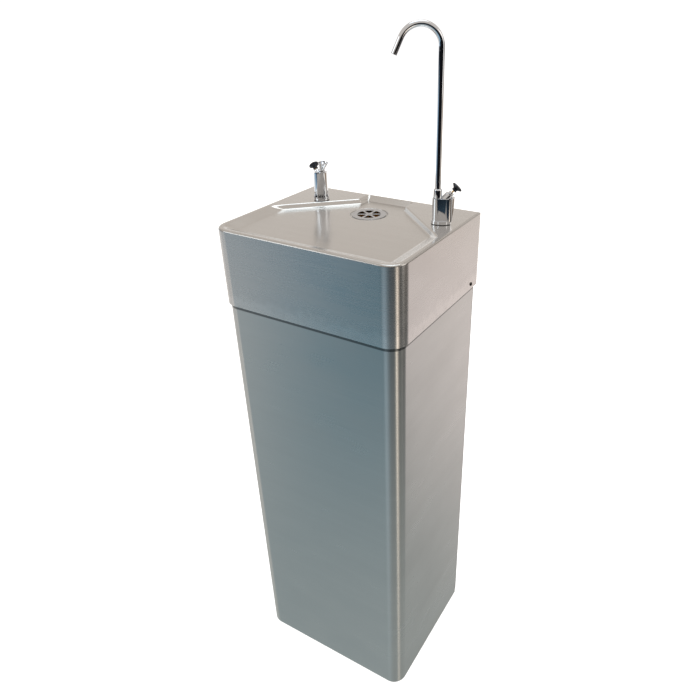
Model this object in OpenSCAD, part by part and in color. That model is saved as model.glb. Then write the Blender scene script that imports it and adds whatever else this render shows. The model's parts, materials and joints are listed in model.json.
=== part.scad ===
// Pedestal drinking fountain in stainless steel, with a bubbler tap and a swan-neck bottle filler.
// Millimetres, +Z up. The origin is on the floor, under the middle of the hood.
// X runs from left to right and Y from the front to the back.

/* [Hood] */
// Width of the hood
hood_w = 350; // [320:5:460]
// Depth of the hood, front to back
hood_d = 285; // [270:5:360]
// Height of the hood's rim above the floor
rim_h = 950; // [780:5:1150]
// Height of the hood's skirt
skirt_h = 134; // [100:1:170]
// Radius of the hood's two front corners
corner_r = 31; // [24:1:40]
// Thickness of all the sheet steel
sheet_t = 1.5; // [1:0.1:2]

/* [Basin] */
// Flat rim round the front and sides of the basin
rim_w = 9; // [7:0.5:14]
// Flat rim behind the basin
back_rim_w = 4.5; // [4:0.5:10]
// Depth of the basin below the rim
basin_depth = 8; // [7:0.5:14]
// Width of the sloping walls at the front and sides
wall_run = 20; // [16:1:30]
// Width of the sloping wall at the back
back_run = 10; // [6:1:16]
// Width of the steep walls below the tap decks
deck_run = 4; // [3:0.5:8]
// Half width of the basin's floor between the tap decks
nose_x = 44; // [36:1:60]
// Distance from the hood's back to where the tap decks start to spread
nose_back = 36.5; // [30:0.5:50]
// Angle of the tap decks' edges from the back of the hood
deck_turn = 43; // [35:1:50]
// Distance from the hood's back to the middle of the drain
drain_back = 80.5; // [70:0.5:100]

/* [Cabinet] */
// How far the hood stands out past the cabinet at the front and sides
overhang = 4; // [3:0.5:8]
// How far the hood stands out past the back panel
back_gap = 2; // [1.9:0.1:4]
// Width of the flanges that the back panel is screwed to
flange_w = 18; // [16:1:30]
// Height of the base frame's upright edge
base_edge_h = 30; // [20:1:60]
// Width of the base frame's foot flange
foot_w = 45; // [40:1:60]
// Distance between the floor anchors, left to right
anchor_x = 290; // [250:1:300]
// Distance between the floor anchors, front to back
anchor_y = 220; // [200:1:230]
// Diameter of the floor anchor holes
anchor_d = 9; // [7:0.5:12]

/* [Waste] */
// Diameter of the strainer's flange
strainer_d = 60; // [56:1:66]
// Diameter of the circle that holds the strainer's slots
slot_ring_d = 43; // [40:1:44]
// Diameter of the waste pipe
waste_d = 32; // [30:1:34]
// Diameter of the threaded waste fittings
waste_thread_d = 41.9; // [40:0.1:46]
// Distance from the trap to the waste pipe
waste_reach = 90; // [85:1:110]
// Direction of the waste pipe from the trap
waste_turn = 198; // [190:1:205]
// Height of the waste pipe's open end above the floor
waste_end_h = 40; // [20:1:120]

/* [Supply] */
// Height of the stop valve above the floor
valve_h = 300; // [200:5:400]
// Distance of the stop valve to the right of the middle
valve_x = 30; // [20:1:40]
// Distance from the hood's back to the stop valve
valve_back = 50.5; // [46:0.5:56]
// Diameter of the stop valve's inlet thread
inlet_d = 20.9; // [16:0.1:22]
// Outside diameter of the braided hoses
hose_d = 11; // [9:0.5:12]
// Bend radius of the braided hoses
hose_bend_r = 60; // [40:5:80]

/* [Taps] */
// Distance from the hood's left side to the bubbler
bubbler_side = 67; // [60:1:80]
// Distance from the hood's back to the bubbler
bubbler_back = 69.5; // [60:0.5:72]
// Direction of the bubbler's push button
bubbler_turn = 155; // [120:1:180]
// Distance from the hood's right side to the swan neck
filler_side = 39; // [36:1:50]
// Distance from the hood's back to the swan neck
filler_back = 89; // [70:0.5:95]
// Direction of the filler's push button
filler_turn = 37; // [20:1:60]
// Diameter of the threaded shanks that pass through the deck
shank_d = 16.6; // [14:0.1:18]
// Length of the shanks below the rim
shank_l = 50; // [40:1:70]
// Height of the bubbler's body
bubbler_h = 50; // [46:1:56]
// Height of the filler's body
filler_h = 42; // [40:1:50]
// Travel of the push buttons
push_travel = 3; // [2:0.5:3]

/* [Swan neck] */
// Outside diameter of the swan-neck tube
tube_d = 9.5; // [8:0.5:10]
// Wall of the swan-neck tube
tube_wall = 1; // [0.8:0.1:1.5]
// Height of the start of the bend above the rim
neck_h = 262; // [180:1:330]
// Radius of the bend
neck_r = 31; // [24:1:45]
// Angle of the bend
neck_bend = 155; // [120:1:180]
// Straight length after the bend
neck_tail = 23; // [10:1:40]

/* [Fits] */
// Radial clearance of parts that turn or slide in each other
run_gap = 0.05; // [0.02:0.01:0.1]
// Radial clearance of parts that are screwed or pushed together
fit_gap = 0.1; // [0.05:0.05:0.3]
// Radial clearance of bolts and pipes in their holes
hole_gap = 0.3; // [0.2:0.1:0.6]

/* [Hidden] */
$fn = 64;
over = 1;          // how far a cut runs past a face
far = 600;         // larger than any part of the hood
seam_l = 0.3;      // overlap of the lengths that make up one bent tube
seam_r = 0.02;     // how far a sleeved length stands round the bend that it joins

steel = [0.72, 0.72, 0.71];
chrome = [0.86, 0.88, 0.9];
brass = [0.78, 0.62, 0.32];
rubber = [0.12, 0.12, 0.13];
plastic = [0.93, 0.93, 0.91];

// Hood and cabinet
hw = hood_w / 2;
hd = hood_d / 2;
skirt_z = rim_h - skirt_h;
floor_z = rim_h - basin_depth;
cab_w = hw - overhang;
cab_front = -hd + overhang;
cab_back = hd - back_gap;
cab_r = corner_r - overhang;
cab_in_w = cab_w - sheet_t;
flange_y = cab_back - 2 * sheet_t;
cab_top = rim_h - sheet_t;

foot_back_w = 20;   // narrower at the back, so that a supply hose can come straight up

// Screws
screw_r = 1.95;
screw_head_r = 3.6;
screw_head_h = 1.6;
side_screw_y = hd - 25.5;
side_screw_z = skirt_z + 9.5;
panel_screw_x = cab_in_w - flange_w / 2;
panel_foot = 8;
panel_top_gap = 3;
panel_top = skirt_z - panel_top_gap;
panel_screw_z = [panel_foot + 30, panel_top / 2, panel_top - 14];
nut_plate_l = 6;
nut_plate_r = 5;

// Waste
drain_y = hd - drain_back;
dish_gap = 3;
dish_r = strainer_d / 2 + dish_gap;
dish_depth = 2;
dish_z = floor_z - dish_depth;
slot_r = slot_ring_d / 2;
slot_hub_r = 7;
slot_count = 6;
slot_rib = 4;
drain_hole_r = slot_r + 0.5;
seal_t = 2;
waste_top = dish_z - sheet_t - seal_t;
waste_flange_t = 3;
waste_cup_h = 27;
waste_tail_h = 30;
thread_r = waste_thread_d / 2;
waste_r = waste_d / 2;
pipe_wall = 2;
tail_end = waste_top - waste_cup_h - waste_tail_h;
collar_t = 2;
trap_top = tail_end - 25;
trap_r = 27;
trap_wall = 2.5;
trap_h = 70;
trap_low = trap_top - trap_h;
trap_cup_h = 42;
outlet_z = trap_top - 20;
port_end = 46;
nut_h = 18;
pipe_bend_r = 34;
spigot_end_l = 40; // lower end of the waste pipe, turned down to enter a socket
spigot_end_r = waste_r - 0.25;
pipe_x = waste_reach * cos(waste_turn);
pipe_y = drain_y + waste_reach * sin(waste_turn);

// Service rail and clips
clip_standoff = 8;
clip_wall = 2.4;
clip_h = 16;
rail_y = pipe_y + waste_r + clip_standoff;
rail_h = 60;
rail_flange = 11;
rail_screw_dx = 24;
rail_screw_r = 2.4;

// Stop valve, manifold and hoses
valve_y = hd - valve_back;
valve_r = 13;
valve_half = 26;
clamp_drop = 16;
inlet_l = 20;
ball_r = 8.5;
way_r = 5;
seat_half = 10;
valve_stem_r = 3.5;
boss_l = 18;
lever_t = 3;
lever_l = 62;
lever_w = 12;
shank_r = shank_d / 2;
shank_bore_r = 4;
socket_l = 12;
manifold_z = valve_h + valve_half + 16;
manifold_r = 9;
manifold_dx = 22;
port_top = manifold_z + 24;
hose_r = hose_d / 2;
hose_flange_t = 1.5;
washer_t = 1.5;
ferrule_r = hose_r + 0.8;
ferrule_l = 22;
hose_nut_h = 14;
hose_nut_af = 20;
shank_end = rim_h - shank_l;
hose_angle = 30;

// Taps: S is measured outward from each tap's own axis, towards its push button
gasket_t = 1;
bubbler_x = -hw + bubbler_side;
bubbler_y = hd - bubbler_back;
filler_x = hw - filler_side;
filler_y = hd - filler_back;
bubbler_r = 12.5;
base_flare = 1.5;
base_h = 5;
post_r = 8.5;
barrel_r = 12;
barrel_s = 16;
foot_s = 8.5;
filler_shank_s = 4;
valve_lean = 45;
bubbler_face = [7, 44];
filler_face = [17, 44];
boss_r = 7.5;
// Valve cartridge, measured along its own axis from the face of the body
chamber_r = 4;
chamber_l = 21.5;
thread_l = 5;
bonnet_thread_r = 5.6;
seat_w = -12;
seat_t = 2;
seat_way_r = 2.3;
disc_t = 2;
stem_r = 1.5;
collar_top = 2;
stem_top = 18;
bonnet_top = 8.8;
cap_low = bonnet_top + push_travel + 0.4;
backnut_h = 8;
backnut_af = 21;
deck_washer_r = 13;
// Swan neck
tube_r = tube_d / 2;
socket_z = filler_h - 2;
spigot_r = tube_r + 1.05;
spigot_top = filler_h + 8;
nut_wall = 1.2;
neck_nut_r = spigot_r + nut_wall;
neck_nut_top = filler_h + 15;
// Nozzle of the bubbler
nozzle_s = -5.5;
nozzle_lean = 20;
nozzle_l = 23;
nozzle_seat = 6;
nozzle_neck_r = 5;
nozzle_lip_r = 10.5;
nozzle_wall = 1.2;

// ---------- shared shapes ----------

// Plan of the hood or cabinet: square at the back, rounded at the front
module plan(half_w, front, back, r) {
    translate([-half_w, front + r]) square([2 * half_w, back - front - r]);
    translate([-half_w + r, front]) square([2 * (half_w - r), r + over]);
    for (side = [-1, 1]) translate([side * (half_w - r), front + r]) circle(r);
}

module hood_plan(inset) { plan(hw - inset, -hd + inset, hd - inset, corner_r - inset); }
module cabinet_plan(inset) { plan(cab_w - inset, cab_front + inset, cab_back, cab_r - inset); }

module tube(r_out, r_in, h) {
    difference() {
        cylinder(r = r_out, h = h);
        translate([0, 0, -over]) cylinder(r = r_in, h = h + 2 * over);
    }
}

// Hexagonal nut with a bore, af across its flats
module hex_nut(af, bore_r, h) {
    difference() {
        cylinder(r = af / 2 / cos(30), h = h, $fn = 6);
        translate([0, 0, -over]) cylinder(r = bore_r, h = h + 2 * over);
    }
}

// Screw along -X from a face at x = 0, with a low domed head and a hexagonal key hole
module low_screw(l) {
    rotate([0, -90, 0]) cylinder(r = screw_r, h = l);
    difference() {
        rotate([0, 90, 0]) cylinder(r1 = screw_head_r, r2 = screw_head_r * 0.7, h = screw_head_h);
        translate([screw_head_h / 2, 0, 0]) rotate([0, 90, 0]) cylinder(r = 1.2, h = screw_head_h, $fn = 6);
    }
}

// ---------- hood ----------

// Everything outside one sloping wall of the basin, whose top edge passes through top at the rim
module beyond_wall(top, turn, run, grow) {
    translate([top[0], top[1], rim_h]) rotate([0, 0, turn]) rotate([0, atan2(run, basin_depth), 0])
        translate([grow, -far, -far]) cube(2 * far);
}

// Hollow of the basin, or the pan's outer shape when grow is the sheet's thickness
module basin(grow) {
    deck_normal = 90 - deck_turn;
    back_top = hd - back_rim_w;
    low = floor_z - grow;
    intersection() {
        translate([0, 0, low]) linear_extrude(rim_h - low + (grow > 0 ? 0 : over))
            plan(hw - rim_w + grow, -hd + rim_w - grow, back_top + grow, corner_r - rim_w + grow);
        union() {
            difference() {
                translate([-hw, -hd, low - over]) cube([hood_w, hood_d, basin_depth + 4 * over]);
                for (side = [0, 180]) beyond_wall([(hw - rim_w) * cos(side), 0], side, wall_run, grow);
                beyond_wall([0, -hd + rim_w], -90, wall_run, grow);
                beyond_wall([0, back_top], 90, back_run, grow);
                for (side = [1, -1])
                    beyond_wall([side * (nose_x + deck_run * cos(deck_normal)),
                                 hd - nose_back + deck_run * sin(deck_normal)],
                                side > 0 ? deck_normal : 180 - deck_normal, deck_run, grow);
            }
            difference() {
                translate([-hw, hd - nose_back - 2 * deck_run, low - over])
                    cube([hood_w, nose_back, basin_depth + 4 * over]);
                for (side = [0, 180])
                    beyond_wall([(nose_x + deck_run) * cos(side), 0], side, deck_run, grow);
                beyond_wall([0, back_top], 90, back_run, grow);
            }
        }
    }
}

module hood() {
    color(steel) difference() {
        union() {
            translate([0, 0, skirt_z]) difference() {
                linear_extrude(skirt_h) hood_plan(0);
                translate([0, 0, -over]) linear_extrude(skirt_h + over - sheet_t) hood_plan(sheet_t);
            }
            basin(sheet_t);
            translate([0, drain_y, dish_z - sheet_t]) cylinder(r = dish_r + sheet_t, h = dish_depth + sheet_t);
        }
        basin(0);
        translate([0, drain_y, dish_z]) cylinder(r = dish_r, h = dish_depth + over);
        translate([0, drain_y, dish_z - sheet_t - over]) cylinder(r = drain_hole_r, h = sheet_t + 2 * over);
        for (p = shank_places()) translate([p[0], p[1], cab_top - over])
            cylinder(r = shank_r + hole_gap, h = sheet_t + 2 * over);
        for (side = [-1, 1]) translate([side * hw, side_screw_y, side_screw_z])
            rotate([0, 90, 0]) cylinder(r = screw_r + hole_gap, h = 4 * sheet_t, center = true);
    }
}

// Nylon washers between the skirt and the cabinet at the two side screws
module hood_spacers() {
    for (side = [-1, 1]) translate([side * cab_w, side_screw_y, side_screw_z])
        rotate([0, side * 90, 0]) color(plastic) tube(7, screw_r + hole_gap, overhang - sheet_t);
}

module hood_screws() {
    for (side = [0, 180]) translate([hw * cos(side), side_screw_y, side_screw_z])
        rotate([0, 0, side]) color(rubber) low_screw(overhang + sheet_t + nut_plate_l);
}

module hood_nuts() {
    for (side = [-1, 1]) translate([side * cab_in_w, side_screw_y, side_screw_z])
        rotate([0, -side * 90, 0]) color(steel) tube(nut_plate_r, screw_r + run_gap, nut_plate_l);
}

// ---------- cabinet ----------

module cabinet_wrap() {
    color(steel) difference() {
        union() {
            linear_extrude(cab_top) difference() {
                cabinet_plan(0);
                cabinet_plan(sheet_t);
                translate([-cab_w - over, cab_back - sheet_t]) square([2 * cab_w + 2 * over, 2 * sheet_t]);
                translate([-cab_in_w, cab_back - 4 * sheet_t]) square([2 * cab_in_w, 5 * sheet_t]);
            }
            for (side = [-1, 1]) translate([side > 0 ? cab_in_w - flange_w : -cab_in_w - sheet_t, flange_y, 0])
                cube([flange_w + sheet_t, sheet_t, cab_top]);
        }
        for (side = [-1, 1]) translate([side * cab_w, side_screw_y, side_screw_z])
            rotate([0, 90, 0]) cylinder(r = screw_r + hole_gap, h = 4 * sheet_t, center = true);
        for (side = [-1, 1], z = panel_screw_z) translate([side * panel_screw_x, flange_y, z])
            rotate([90, 0, 0]) cylinder(r = screw_r + run_gap, h = 4 * sheet_t, center = true);
    }
}

// Folded cross rail behind the top edge of the back panel
module top_rail() {
    rail_low = panel_top - 28;
    rail_high = skirt_z + 22;
    color(steel) difference() {
        union() {
            translate([-cab_in_w, flange_y - sheet_t, rail_low])
                cube([2 * cab_in_w, sheet_t, rail_high - rail_low]);
            translate([-cab_in_w, flange_y - 14, rail_low]) cube([2 * cab_in_w, 14, sheet_t]);
        }
        for (side = [-1, 1]) translate([side * panel_screw_x, flange_y, panel_screw_z[2]])
            rotate([90, 0, 0]) cylinder(r = screw_r + hole_gap, h = 5 * sheet_t, center = true);
    }
}

// Folded cross rail that carries the stop valve and the waste pipe
module service_rail() {
    color(steel) difference() {
        translate([-cab_in_w, rail_y, valve_h - rail_h / 2]) difference() {
            cube([2 * cab_in_w, rail_flange, rail_h]);
            translate([sheet_t, sheet_t, sheet_t])
                cube([2 * (cab_in_w - sheet_t), rail_flange, rail_h - 2 * sheet_t]);
        }
        for (p = rail_screw_places()) translate([p[0], rail_y, p[1]])
            rotate([90, 0, 0]) cylinder(r = rail_screw_r + run_gap, h = 4 * sheet_t, center = true);
    }
}

module base_frame() {
    edge = sheet_t + hole_gap;
    color(steel) difference() {
        union() {
            linear_extrude(base_edge_h) frame_ring(edge, sheet_t, sheet_t);
            linear_extrude(sheet_t) frame_ring(edge, foot_w, foot_back_w);
        }
        for (x = [-1, 1], y = [-1, 1]) translate([x * anchor_x / 2, y * anchor_y / 2, -over])
            cylinder(r = anchor_d / 2, h = sheet_t + 2 * over);
    }
}

// Ring inside the cabinet's plan, w wide at the front and sides and back_w wide at the back
module frame_ring(out, w, back_w) {
    back = flange_y - hole_gap;
    in = out + w;
    difference() {
        plan(cab_w - out, cab_front + out, back, cab_r - out);
        plan(cab_w - in, cab_front + in, back - back_w, max(cab_r - in, 2));
    }
}

module back_panel() {
    edge_gap = 0.5;
    color(steel) difference() {
        translate([-cab_w + edge_gap, cab_back - sheet_t, panel_foot])
            cube([2 * (cab_w - edge_gap), sheet_t, panel_top - panel_foot]);
        for (side = [-1, 1], z = panel_screw_z) translate([side * panel_screw_x, cab_back, z])
            rotate([90, 0, 0]) cylinder(r = screw_r + hole_gap, h = 4 * sheet_t, center = true);
    }
}

module panel_screws() {
    for (side = [-1, 1], z = panel_screw_z) translate([side * panel_screw_x, cab_back, z])
        rotate([0, 0, 90]) color(steel) low_screw(10);
}

// ---------- waste ----------

module strainer() {
    color(chrome) translate([0, drain_y, dish_z]) difference() {
        union() {
            cylinder(r = strainer_d / 2, h = dish_depth);
            translate([0, 0, -sheet_t]) tube(drain_hole_r - fit_gap, drain_hole_r - 1.5, sheet_t + over);
        }
        for (i = [0 : slot_count - 1]) rotate([0, 0, i * 360 / slot_count]) strainer_slot();
        translate([0, 0, -over]) cylinder(r = screw_r + 1 + hole_gap, h = 4 * over);
        translate([0, 0, dish_depth - 1.2]) cylinder(r1 = 3.2, r2 = 5.6, h = 1.3);
    }
}

// One petal between two ribs of the strainer
module strainer_slot() {
    half = 180 / slot_count;
    translate([0, 0, -over]) linear_extrude(dish_depth + 2 * over) intersection() {
        difference() {
            circle(slot_r - 1);
            circle(slot_hub_r);
        }
        translate([slot_rib / 2 / sin(half), 0]) polygon([[0, 0], [far * cos(half), -far * sin(half)] / 10,
            [far * cos(half), far * sin(half)] / 10]);
    }
}

module strainer_screw() {
    color(chrome) translate([0, drain_y, dish_z]) difference() {
        union() {
            translate([0, 0, dish_depth - 1.1]) cylinder(r1 = 3.1, r2 = 5.2, h = 1.1);
            translate([0, 0, -18]) cylinder(r = screw_r + 1, h = 18 + dish_depth);
        }
        translate([-far / 2, -0.5, dish_depth - 0.8]) cube([far, 1, 2]);
    }
}

module waste_seal() {
    color(rubber) translate([0, drain_y, waste_top]) tube(strainer_d / 2 - 1, drain_hole_r, seal_t);
}

module waste_body() {
    cup_r = thread_r + 3;
    color(brass) translate([0, drain_y, waste_top]) difference() {
        union() {
            translate([0, 0, -waste_flange_t]) cylinder(r = strainer_d / 2 - 1, h = waste_flange_t);
            translate([0, 0, -waste_cup_h]) cylinder(r = cup_r, h = waste_cup_h);
            translate([0, 0, -waste_cup_h - waste_tail_h]) cylinder(r = thread_r, h = waste_tail_h + over);
        }
        difference() {
            union() {
                translate([0, 0, -waste_cup_h + 3]) cylinder(r = drain_hole_r - 0.5, h = waste_cup_h);
                translate([0, 0, -far]) cylinder(r = thread_r - 3.4, h = far);
            }
            // three ribs carry the nut of the strainer's screw
            translate([0, 0, -18]) intersection() {
                union() {
                    cylinder(r = 5.5, h = 9);
                    for (i = [0 : 2]) rotate([0, 0, i * 120]) translate([0, -1.5, 0]) cube([far, 3, 9]);
                }
                cylinder(r = cup_r, h = 9);
            }
        }
        translate([0, 0, -19]) cylinder(r = screw_r + 1 + run_gap, h = 12);
    }
}

// Bottle trap: inlet pipe and dip tube, round body and a threaded outlet port
module trap_body() {
    color(plastic) translate([0, drain_y, 0]) difference() {
        union() {
            translate([0, 0, trap_low + 15]) cylinder(r = waste_r, h = tail_end - 4 - trap_low - 15);
            translate([0, 0, tail_end - 2 - collar_t]) cylinder(r = thread_r - 1, h = collar_t);
            difference() {
                translate([0, 0, trap_low]) cylinder(r = trap_r, h = trap_h);
                translate([0, 0, trap_low - over]) cylinder(r = trap_r - trap_wall, h = trap_h - trap_wall + over);
            }
            translate([0, 0, outlet_z]) rotate([0, 0, waste_turn]) rotate([0, 90, 0])
                translate([0, 0, trap_r - trap_wall]) cylinder(r = thread_r - 2, h = port_end - trap_r + trap_wall);
        }
        translate([0, 0, trap_low]) cylinder(r = waste_r - pipe_wall, h = far);
        translate([0, 0, outlet_z]) rotate([0, 0, waste_turn]) rotate([0, 90, 0])
            translate([0, 0, trap_r - 2 * trap_wall]) cylinder(r = waste_r + fit_gap, h = port_end);
    }
}

module trap_cup() {
    color(plastic) translate([0, drain_y, trap_low - trap_cup_h + 14]) difference() {
        union() {
            cylinder(r = trap_r + trap_wall + fit_gap, h = trap_cup_h);
            for (i = [0 : 11]) rotate([0, 0, i * 30]) translate([trap_r + trap_wall, 0, 0]) cylinder(r = 2, h = 14);
        }
        translate([0, 0, 3]) cylinder(r = trap_r - trap_wall, h = trap_cup_h);
        translate([0, 0, trap_cup_h - 16]) cylinder(r = trap_r + fit_gap, h = trap_cup_h);
    }
}

// Ribbed union nut with a lip of lip_r at its lower end
module union_nut(bore_r, lip_r) {
    lip_t = 3;
    difference() {
        union() {
            cylinder(r = bore_r + 3.4, h = nut_h);
            for (i = [0 : 11]) rotate([0, 0, i * 30]) translate([bore_r + 3.2, 0, 0]) cylinder(r = 1.6, h = nut_h);
        }
        translate([0, 0, lip_t]) cylinder(r = bore_r, h = nut_h);
        translate([0, 0, -over]) cylinder(r = lip_r, h = nut_h);
    }
}

module trap_nuts() {
    color(plastic) {
        translate([0, drain_y, tail_end - 2 - collar_t - 3]) union_nut(thread_r + fit_gap, waste_r + hole_gap);
        translate([0, drain_y, outlet_z]) rotate([0, 0, waste_turn]) rotate([0, 90, 0])
            translate([0, 0, port_end + 5]) mirror([0, 0, 1]) union_nut(thread_r - 2 + fit_gap, waste_r + hole_gap);
    }
}

module trap_washers() {
    color(rubber) {
        translate([0, drain_y, tail_end - 2]) tube(thread_r - 1, waste_r + fit_gap, 2);
        translate([0, drain_y, outlet_z]) rotate([0, 0, waste_turn]) rotate([0, 90, 0])
            translate([0, 0, port_end]) tube(thread_r - 2, waste_r + fit_gap, 2);
        translate([0, drain_y, trap_low - 2]) tube(trap_r, trap_r - trap_wall, 2);
    }
}

module waste_pipe() {
    start = port_end - 14;
    bend_at = waste_reach - pipe_bend_r;
    color(plastic) translate([0, drain_y, outlet_z]) rotate([0, 0, waste_turn]) {
        translate([start, 0, 0]) rotate([0, 90, 0]) tube(waste_r, waste_r - pipe_wall, bend_at - start);
        translate([bend_at, 0, -pipe_bend_r]) rotate([90, 0, 0]) rotate_extrude(angle = 90)
            translate([pipe_bend_r, 0]) difference() {
                circle(waste_r);
                circle(waste_r - pipe_wall);
            }
        translate([waste_reach, 0, waste_end_h - outlet_z]) {
            tube(spigot_end_r, waste_r - pipe_wall, spigot_end_l);
            translate([0, 0, spigot_end_l - over])
                tube(waste_r, waste_r - pipe_wall, outlet_z - pipe_bend_r - waste_end_h - spigot_end_l + over);
        }
    }
}

// Clip ring on a foot that is screwed to the service rail; the foot runs along +Y to reach
module rail_clip(ring_r, reach) {
    difference() {
        union() {
            cylinder(r = ring_r + clip_wall, h = clip_h, center = true);
            translate([-5, 0, -clip_h / 2]) cube([10, reach, clip_h]);
            translate([-rail_screw_dx / 2 - 6, reach - 3, -clip_h / 2]) cube([rail_screw_dx + 12, 3, clip_h]);
        }
        cylinder(r = ring_r, h = 2 * clip_h, center = true);
        for (side = [-1, 1]) translate([side * rail_screw_dx / 2, reach, 0])
            rotate([90, 0, 0]) cylinder(r = rail_screw_r + hole_gap, h = 20, center = true);
    }
}

module pipe_clip() {
    color(plastic) translate([pipe_x, pipe_y, valve_h]) rail_clip(waste_r + fit_gap, waste_r + clip_standoff);
}

module rail_screws() {
    for (p = rail_screw_places()) {
        front = p[0] < 0;
        translate([p[0], front ? rail_y - 3 : rail_y + sheet_t + 3, p[1]]) rotate([front ? 90 : -90, 0, 0])
            color(steel) {
                difference() {
                    cylinder(r = 4.5, h = 3);
                    translate([0, 0, 1.2]) cylinder(r = 1.8, h = 3, $fn = 6);
                }
                translate([0, 0, -8]) cylinder(r = rail_screw_r, h = 8 + over);
            }
    }
}

// ---------- supply ----------

module at_valve() { translate([valve_x, valve_y, valve_h]) children(); }

module valve_body() {
    color(brass) at_valve() difference() {
        union() {
            translate([0, 0, -valve_half]) cylinder(r = valve_r, h = 2 * valve_half);
            translate([0, 0, -valve_half - inlet_l]) cylinder(r = inlet_d / 2, h = inlet_l + over);
            rotate([-90, 0, 0]) cylinder(r = 7, h = boss_l);
            translate([0, 0, valve_half - 10]) cylinder(r = 15, h = 10, $fn = 6);
        }
        translate([0, 0, -far / 2]) cylinder(r = way_r, h = far);
        translate([0, 0, -seat_half]) cylinder(r = ball_r + fit_gap, h = 2 * seat_half);
        translate([0, 0, valve_half - socket_l]) cylinder(r = shank_r + fit_gap, h = socket_l + over);
        rotate([-90, 0, 0]) cylinder(r = valve_stem_r + run_gap, h = boss_l + over);
    }
}

// Rings of low-friction plastic above and below the ball
module valve_seats() {
    color(plastic) at_valve() for (side = [0, 1]) mirror([0, 0, side]) difference() {
        translate([0, 0, 5]) tube(ball_r, way_r, seat_half - 5);
        sphere(r = ball_r + run_gap);
    }
}

module valve_ball() {
    color(chrome) at_valve() difference() {
        union() {
            sphere(r = ball_r);
            rotate([-90, 0, 0]) cylinder(r = valve_stem_r, h = boss_l + 2 + lever_t);
        }
        cylinder(r = way_r, h = 4 * ball_r, center = true);
        translate([0, boss_l + 2 + lever_t, 0]) rotate([90, 0, 0]) cylinder(r = 1.6, h = 10);
    }
}

module valve_lever() {
    color(steel) at_valve() translate([0, boss_l + 2, 0]) rotate([-90, 0, 0]) difference() {
        union() {
            cylinder(r = 7.5, h = lever_t);
            translate([-lever_w / 2, -lever_l, 0]) cube([lever_w, lever_l, lever_t]);
        }
        translate([0, 0, -over]) cylinder(r = valve_stem_r + fit_gap, h = lever_t + 2 * over);
    }
}

module lever_grip() {
    wall = 1.4;
    color([0.1, 0.25, 0.6]) at_valve() translate([0, boss_l + 2, 0]) difference() {
        translate([-lever_w / 2 - wall, -wall, lever_l - 36]) cube([lever_w + 2 * wall, lever_t + 2 * wall, 36 + wall]);
        translate([-lever_w / 2 - fit_gap, -fit_gap, 0])
            cube([lever_w + 2 * fit_gap, lever_t + 2 * fit_gap, lever_l + fit_gap]);
    }
}

module lever_screw() {
    color(steel) at_valve() translate([0, boss_l + 2 + lever_t, 0]) rotate([-90, 0, 0]) {
        difference() {
            cylinder(r = 4.6, h = 2.4);
            translate([0, 0, 1]) cylinder(r = 1.4, h = 3, $fn = 6);
        }
        translate([0, 0, -8]) cylinder(r = 1.5, h = 8.5);
    }
}

module valve_clamp() {
    color(steel) at_valve() translate([0, 0, -clamp_drop]) rotate([0, 0, 180])
        rail_clip(valve_r + fit_gap, valve_y - rail_y - sheet_t);
}

// Two-way manifold: one inlet below, two ports above
module manifold() {
    color(brass) translate([valve_x, valve_y, manifold_z]) difference() {
        union() {
            translate([-manifold_dx - manifold_r, 0, 0]) rotate([0, 90, 0])
                cylinder(r = manifold_r, h = 2 * (manifold_dx + manifold_r));
            translate([0, 0, -16 - socket_l + fit_gap]) cylinder(r = shank_r, h = 16 + socket_l);
            for (side = [-1, 1]) translate([side * manifold_dx, 0, 0]) cylinder(r = shank_r, h = port_top - manifold_z);
        }
        translate([-manifold_dx, 0, 0]) rotate([0, 90, 0]) cylinder(r = way_r, h = 2 * manifold_dx);
        translate([0, 0, -far]) cylinder(r = way_r, h = far);
        for (side = [-1, 1]) translate([side * manifold_dx, 0, 0]) cylinder(r = way_r, h = far);
    }
}

// Braided hose in the upright plane through both ends: two equal bends joined by a straight
module s_hose(low, high) {
    reach = norm([high[0] - low[0], high[1] - low[1]]);
    turn = atan2(high[1] - low[1], high[0] - low[0]);
    bend_rise = hose_bend_r * sin(hose_angle);
    bend_side = hose_bend_r * (1 - cos(hose_angle));
    slant = (reach - 2 * bend_side) / sin(hose_angle);
    rise = 2 * bend_rise + slant * cos(hose_angle);
    lead = (high[2] - low[2] - rise) / 2;
    translate(low) rotate([0, 0, turn]) {
        hose_end();
        cylinder(r = hose_r, h = lead);
        translate([hose_bend_r, 0, lead]) hose_bend();
        translate([bend_side, 0, lead + bend_rise]) rotate([0, hose_angle, 0])
            translate([0, 0, -seam_l]) cylinder(r = hose_r + seam_r, h = slant + 2 * seam_l);
        translate([reach - hose_bend_r, 0, lead + rise]) rotate([0, 180, 0]) hose_bend();
        translate([reach, 0, lead + rise]) cylinder(r = hose_r, h = lead);
        translate([reach, 0, high[2] - low[2]]) mirror([0, 0, 1]) hose_end();
    }
}

module hose_bend() {
    rotate([0, 180, 0]) rotate([-90, 0, 0]) rotate_extrude(angle = hose_angle) translate([hose_bend_r, 0]) circle(hose_r);
}

// Crimped ferrule with a sealing flange at the very end
module hose_end() {
    cylinder(r = ferrule_r, h = ferrule_l);
    cylinder(r = shank_r - 0.4, h = hose_flange_t);
}

// Ends of both hoses: [low end, high end]
function hose_ends(i) = [
    [valve_x + (i == 0 ? -1 : 1) * manifold_dx, valve_y, port_top + washer_t],
    concat(shank_places()[i], shank_end - washer_t)];

module bubbler_hose() { color([0.6, 0.6, 0.6]) s_hose(hose_ends(0)[0], hose_ends(0)[1]); }
module filler_hose() { color([0.6, 0.6, 0.6]) s_hose(hose_ends(1)[0], hose_ends(1)[1]); }

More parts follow.
